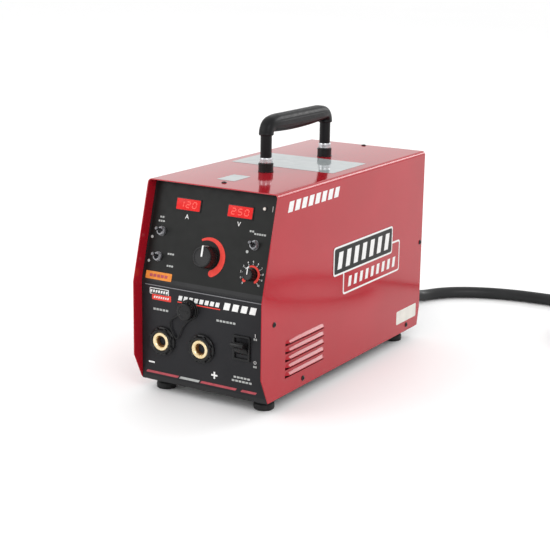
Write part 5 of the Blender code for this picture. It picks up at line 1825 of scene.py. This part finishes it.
hub_profile = [
    (0, FAN_LOW + 0.0012),
    (FAN_HUB - 0.0012, FAN_LOW + 0.0006),
    (FAN_HUB, FAN_LOW + 0.0016),
    (FAN_HUB, FAN_HIGH - 0.0016),
    (FAN_HUB - 0.0014, FAN_HIGH),
    (FAN_HUB * 0.62, FAN_HIGH),
    (FAN_HUB * 0.58, FAN_HIGH - 0.0006),
    (0, FAN_HIGH - 0.0006),
]
hub = piece("fan_hub", spun(hub_profile, 48), moulded_black, "fan", matrix=fan_spot)
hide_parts("fan_rotor")
blade_turn = 2 * pi / FAN_BLADES
fan_blades = ring("fan_blades", blade_shape(), FAN_BLADES, 0, 0, blade_turn, moulded_black, "fan", fan_spot)

# %% [markdown]
# The finger guard is wire: rings welded to two crossed bars. A fourth tree makes the rings, as
# circles of growing size that are given one wire thickness after they are realised.


# %% Fan guard
def rings_tree():
    """Count wire circles round local Z: First in radius, then Step more each."""
    sockets = {"Count": "Int", "First": "Float", "Step": "Float", "Wire": "Float", "Material": "Material"}
    tree, entry, leave = new_tree("rings", sockets)
    dots = tree.nodes.new("GeometryNodePoints")
    index = tree.nodes.new("GeometryNodeInputIndex")
    circle = tree.nodes.new("GeometryNodeCurvePrimitiveCircle")
    section = tree.nodes.new("GeometryNodeCurvePrimitiveCircle")
    copies = tree.nodes.new("GeometryNodeInstanceOnPoints")
    real = tree.nodes.new("GeometryNodeRealizeInstances")
    wire = tree.nodes.new("GeometryNodeCurveToMesh")
    circle.inputs["Resolution"].default_value = 64
    circle.inputs["Radius"].default_value = 1.0
    section.inputs["Resolution"].default_value = 10
    gone = arithmetic(tree, "MULTIPLY", index.outputs["Index"], entry.outputs["Step"])
    link(tree, arithmetic(tree, "ADD", gone, entry.outputs["First"]), copies.inputs["Scale"])
    link(tree, entry.outputs["Count"], dots.inputs["Count"])
    link(tree, dots.outputs["Points"], copies.inputs["Points"])
    link(tree, circle.outputs["Curve"], copies.inputs["Instance"])
    link(tree, copies.outputs["Instances"], real.inputs["Geometry"])
    link(tree, entry.outputs["Wire"], section.inputs["Radius"])
    link(tree, real.outputs["Geometry"], wire.inputs["Curve"])
    link(tree, section.outputs["Curve"], wire.inputs["Profile Curve"])
    return finish_tree(tree, entry, leave, wire.outputs["Mesh"])


WIRE = 0.0013
GUARD_RINGS = 4
guard_start = bpy.data.objects.new("guard_start", bpy.data.meshes.new("guard_start"))
guard_values = {"Count": GUARD_RINGS, "First": 0.0180, "Step": 0.01327, "Wire": WIRE}
guard_place = fan_spot @ Matrix.Translation((0, 0, CLEARANCE + WIRE))
guard = grown("guard_rings", guard_start, rings_tree(), guard_values, plated_steel, "case", guard_place)
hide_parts("fan_guard")
bars = []
for angle in (pi / 4, 3 * pi / 4):
    reach = 0.0578
    bar_profile = [(0, -reach), (WIRE * 0.96, -reach), (WIRE * 0.96, reach), (0, reach)]
    lie_down = Matrix.Rotation(angle, 4, "Z") @ Matrix.Rotation(pi / 2, 4, "Y")
    bars.append(moved(spun(bar_profile, 12), lie_down))
guard_bars = piece("guard_bars", joined(bars), plated_steel, matrix=guard_place)

rear_spots = []
for x in (-1, 1):
    for z in (-1, 1):
        rear_spots.append(((x * 0.0525, REAR_FACE, fan_axis_place.z + z * 0.0525), (0, 1, 0)))
    rear_spots.append(((x * 0.0980, REAR_FACE, BOTTOM + 0.020), (0, 1, 0)))
    rear_spots.append(((x * 0.0980, REAR_FACE, TOP - 0.020), (0, 1, 0)))
rear_screws = at_spots("rear_screws", screw_shape(0.0036, 0.0020), rear_spots, plated_steel)
rear_note = rectangle(0.060, 0.034, 0.002, at=(0.0640, BOTTOM + 0.060))
rear_place = place((0, REAR_FACE, 0), (-1, 0, 0), (0, 0, 1))
decal("rear_label", [rear_note], silver_label, rear_place, 0)

# %% [markdown]
# ## What stays as it is
# The bent panels, the pan and everything inside already have their right shape, so they keep it
# and only take a finish.

# %% Finishes of the solids that stay
KEPT = {
    "base_pan": black_coat,
    "front_panel": black_coat,
    "rear_panel": black_coat,
    "fan_frame": moulded_black,
    "heat_sink": plain_aluminium,
    "power_board": solder_mask,
    "control_board": solder_mask,
    "input_rectifier": moulded_black,
    "output_choke": enamelled_copper,
    "output_potentiometer": plated_steel,
    "force_potentiometer": plated_steel,
    "transformer_core": sintered_core,
    "transformer_winding": enamelled_copper,
    "capacitor_1": plain_aluminium,
    "capacitor_2": plain_aluminium,
    "capacitor_3": plain_aluminium,
}
for name, material in KEPT.items():
    node = frame["nodes"][name]
    for holder in node.material_slots:
        holder.material = material
print(len(KEPT), "solids kept")
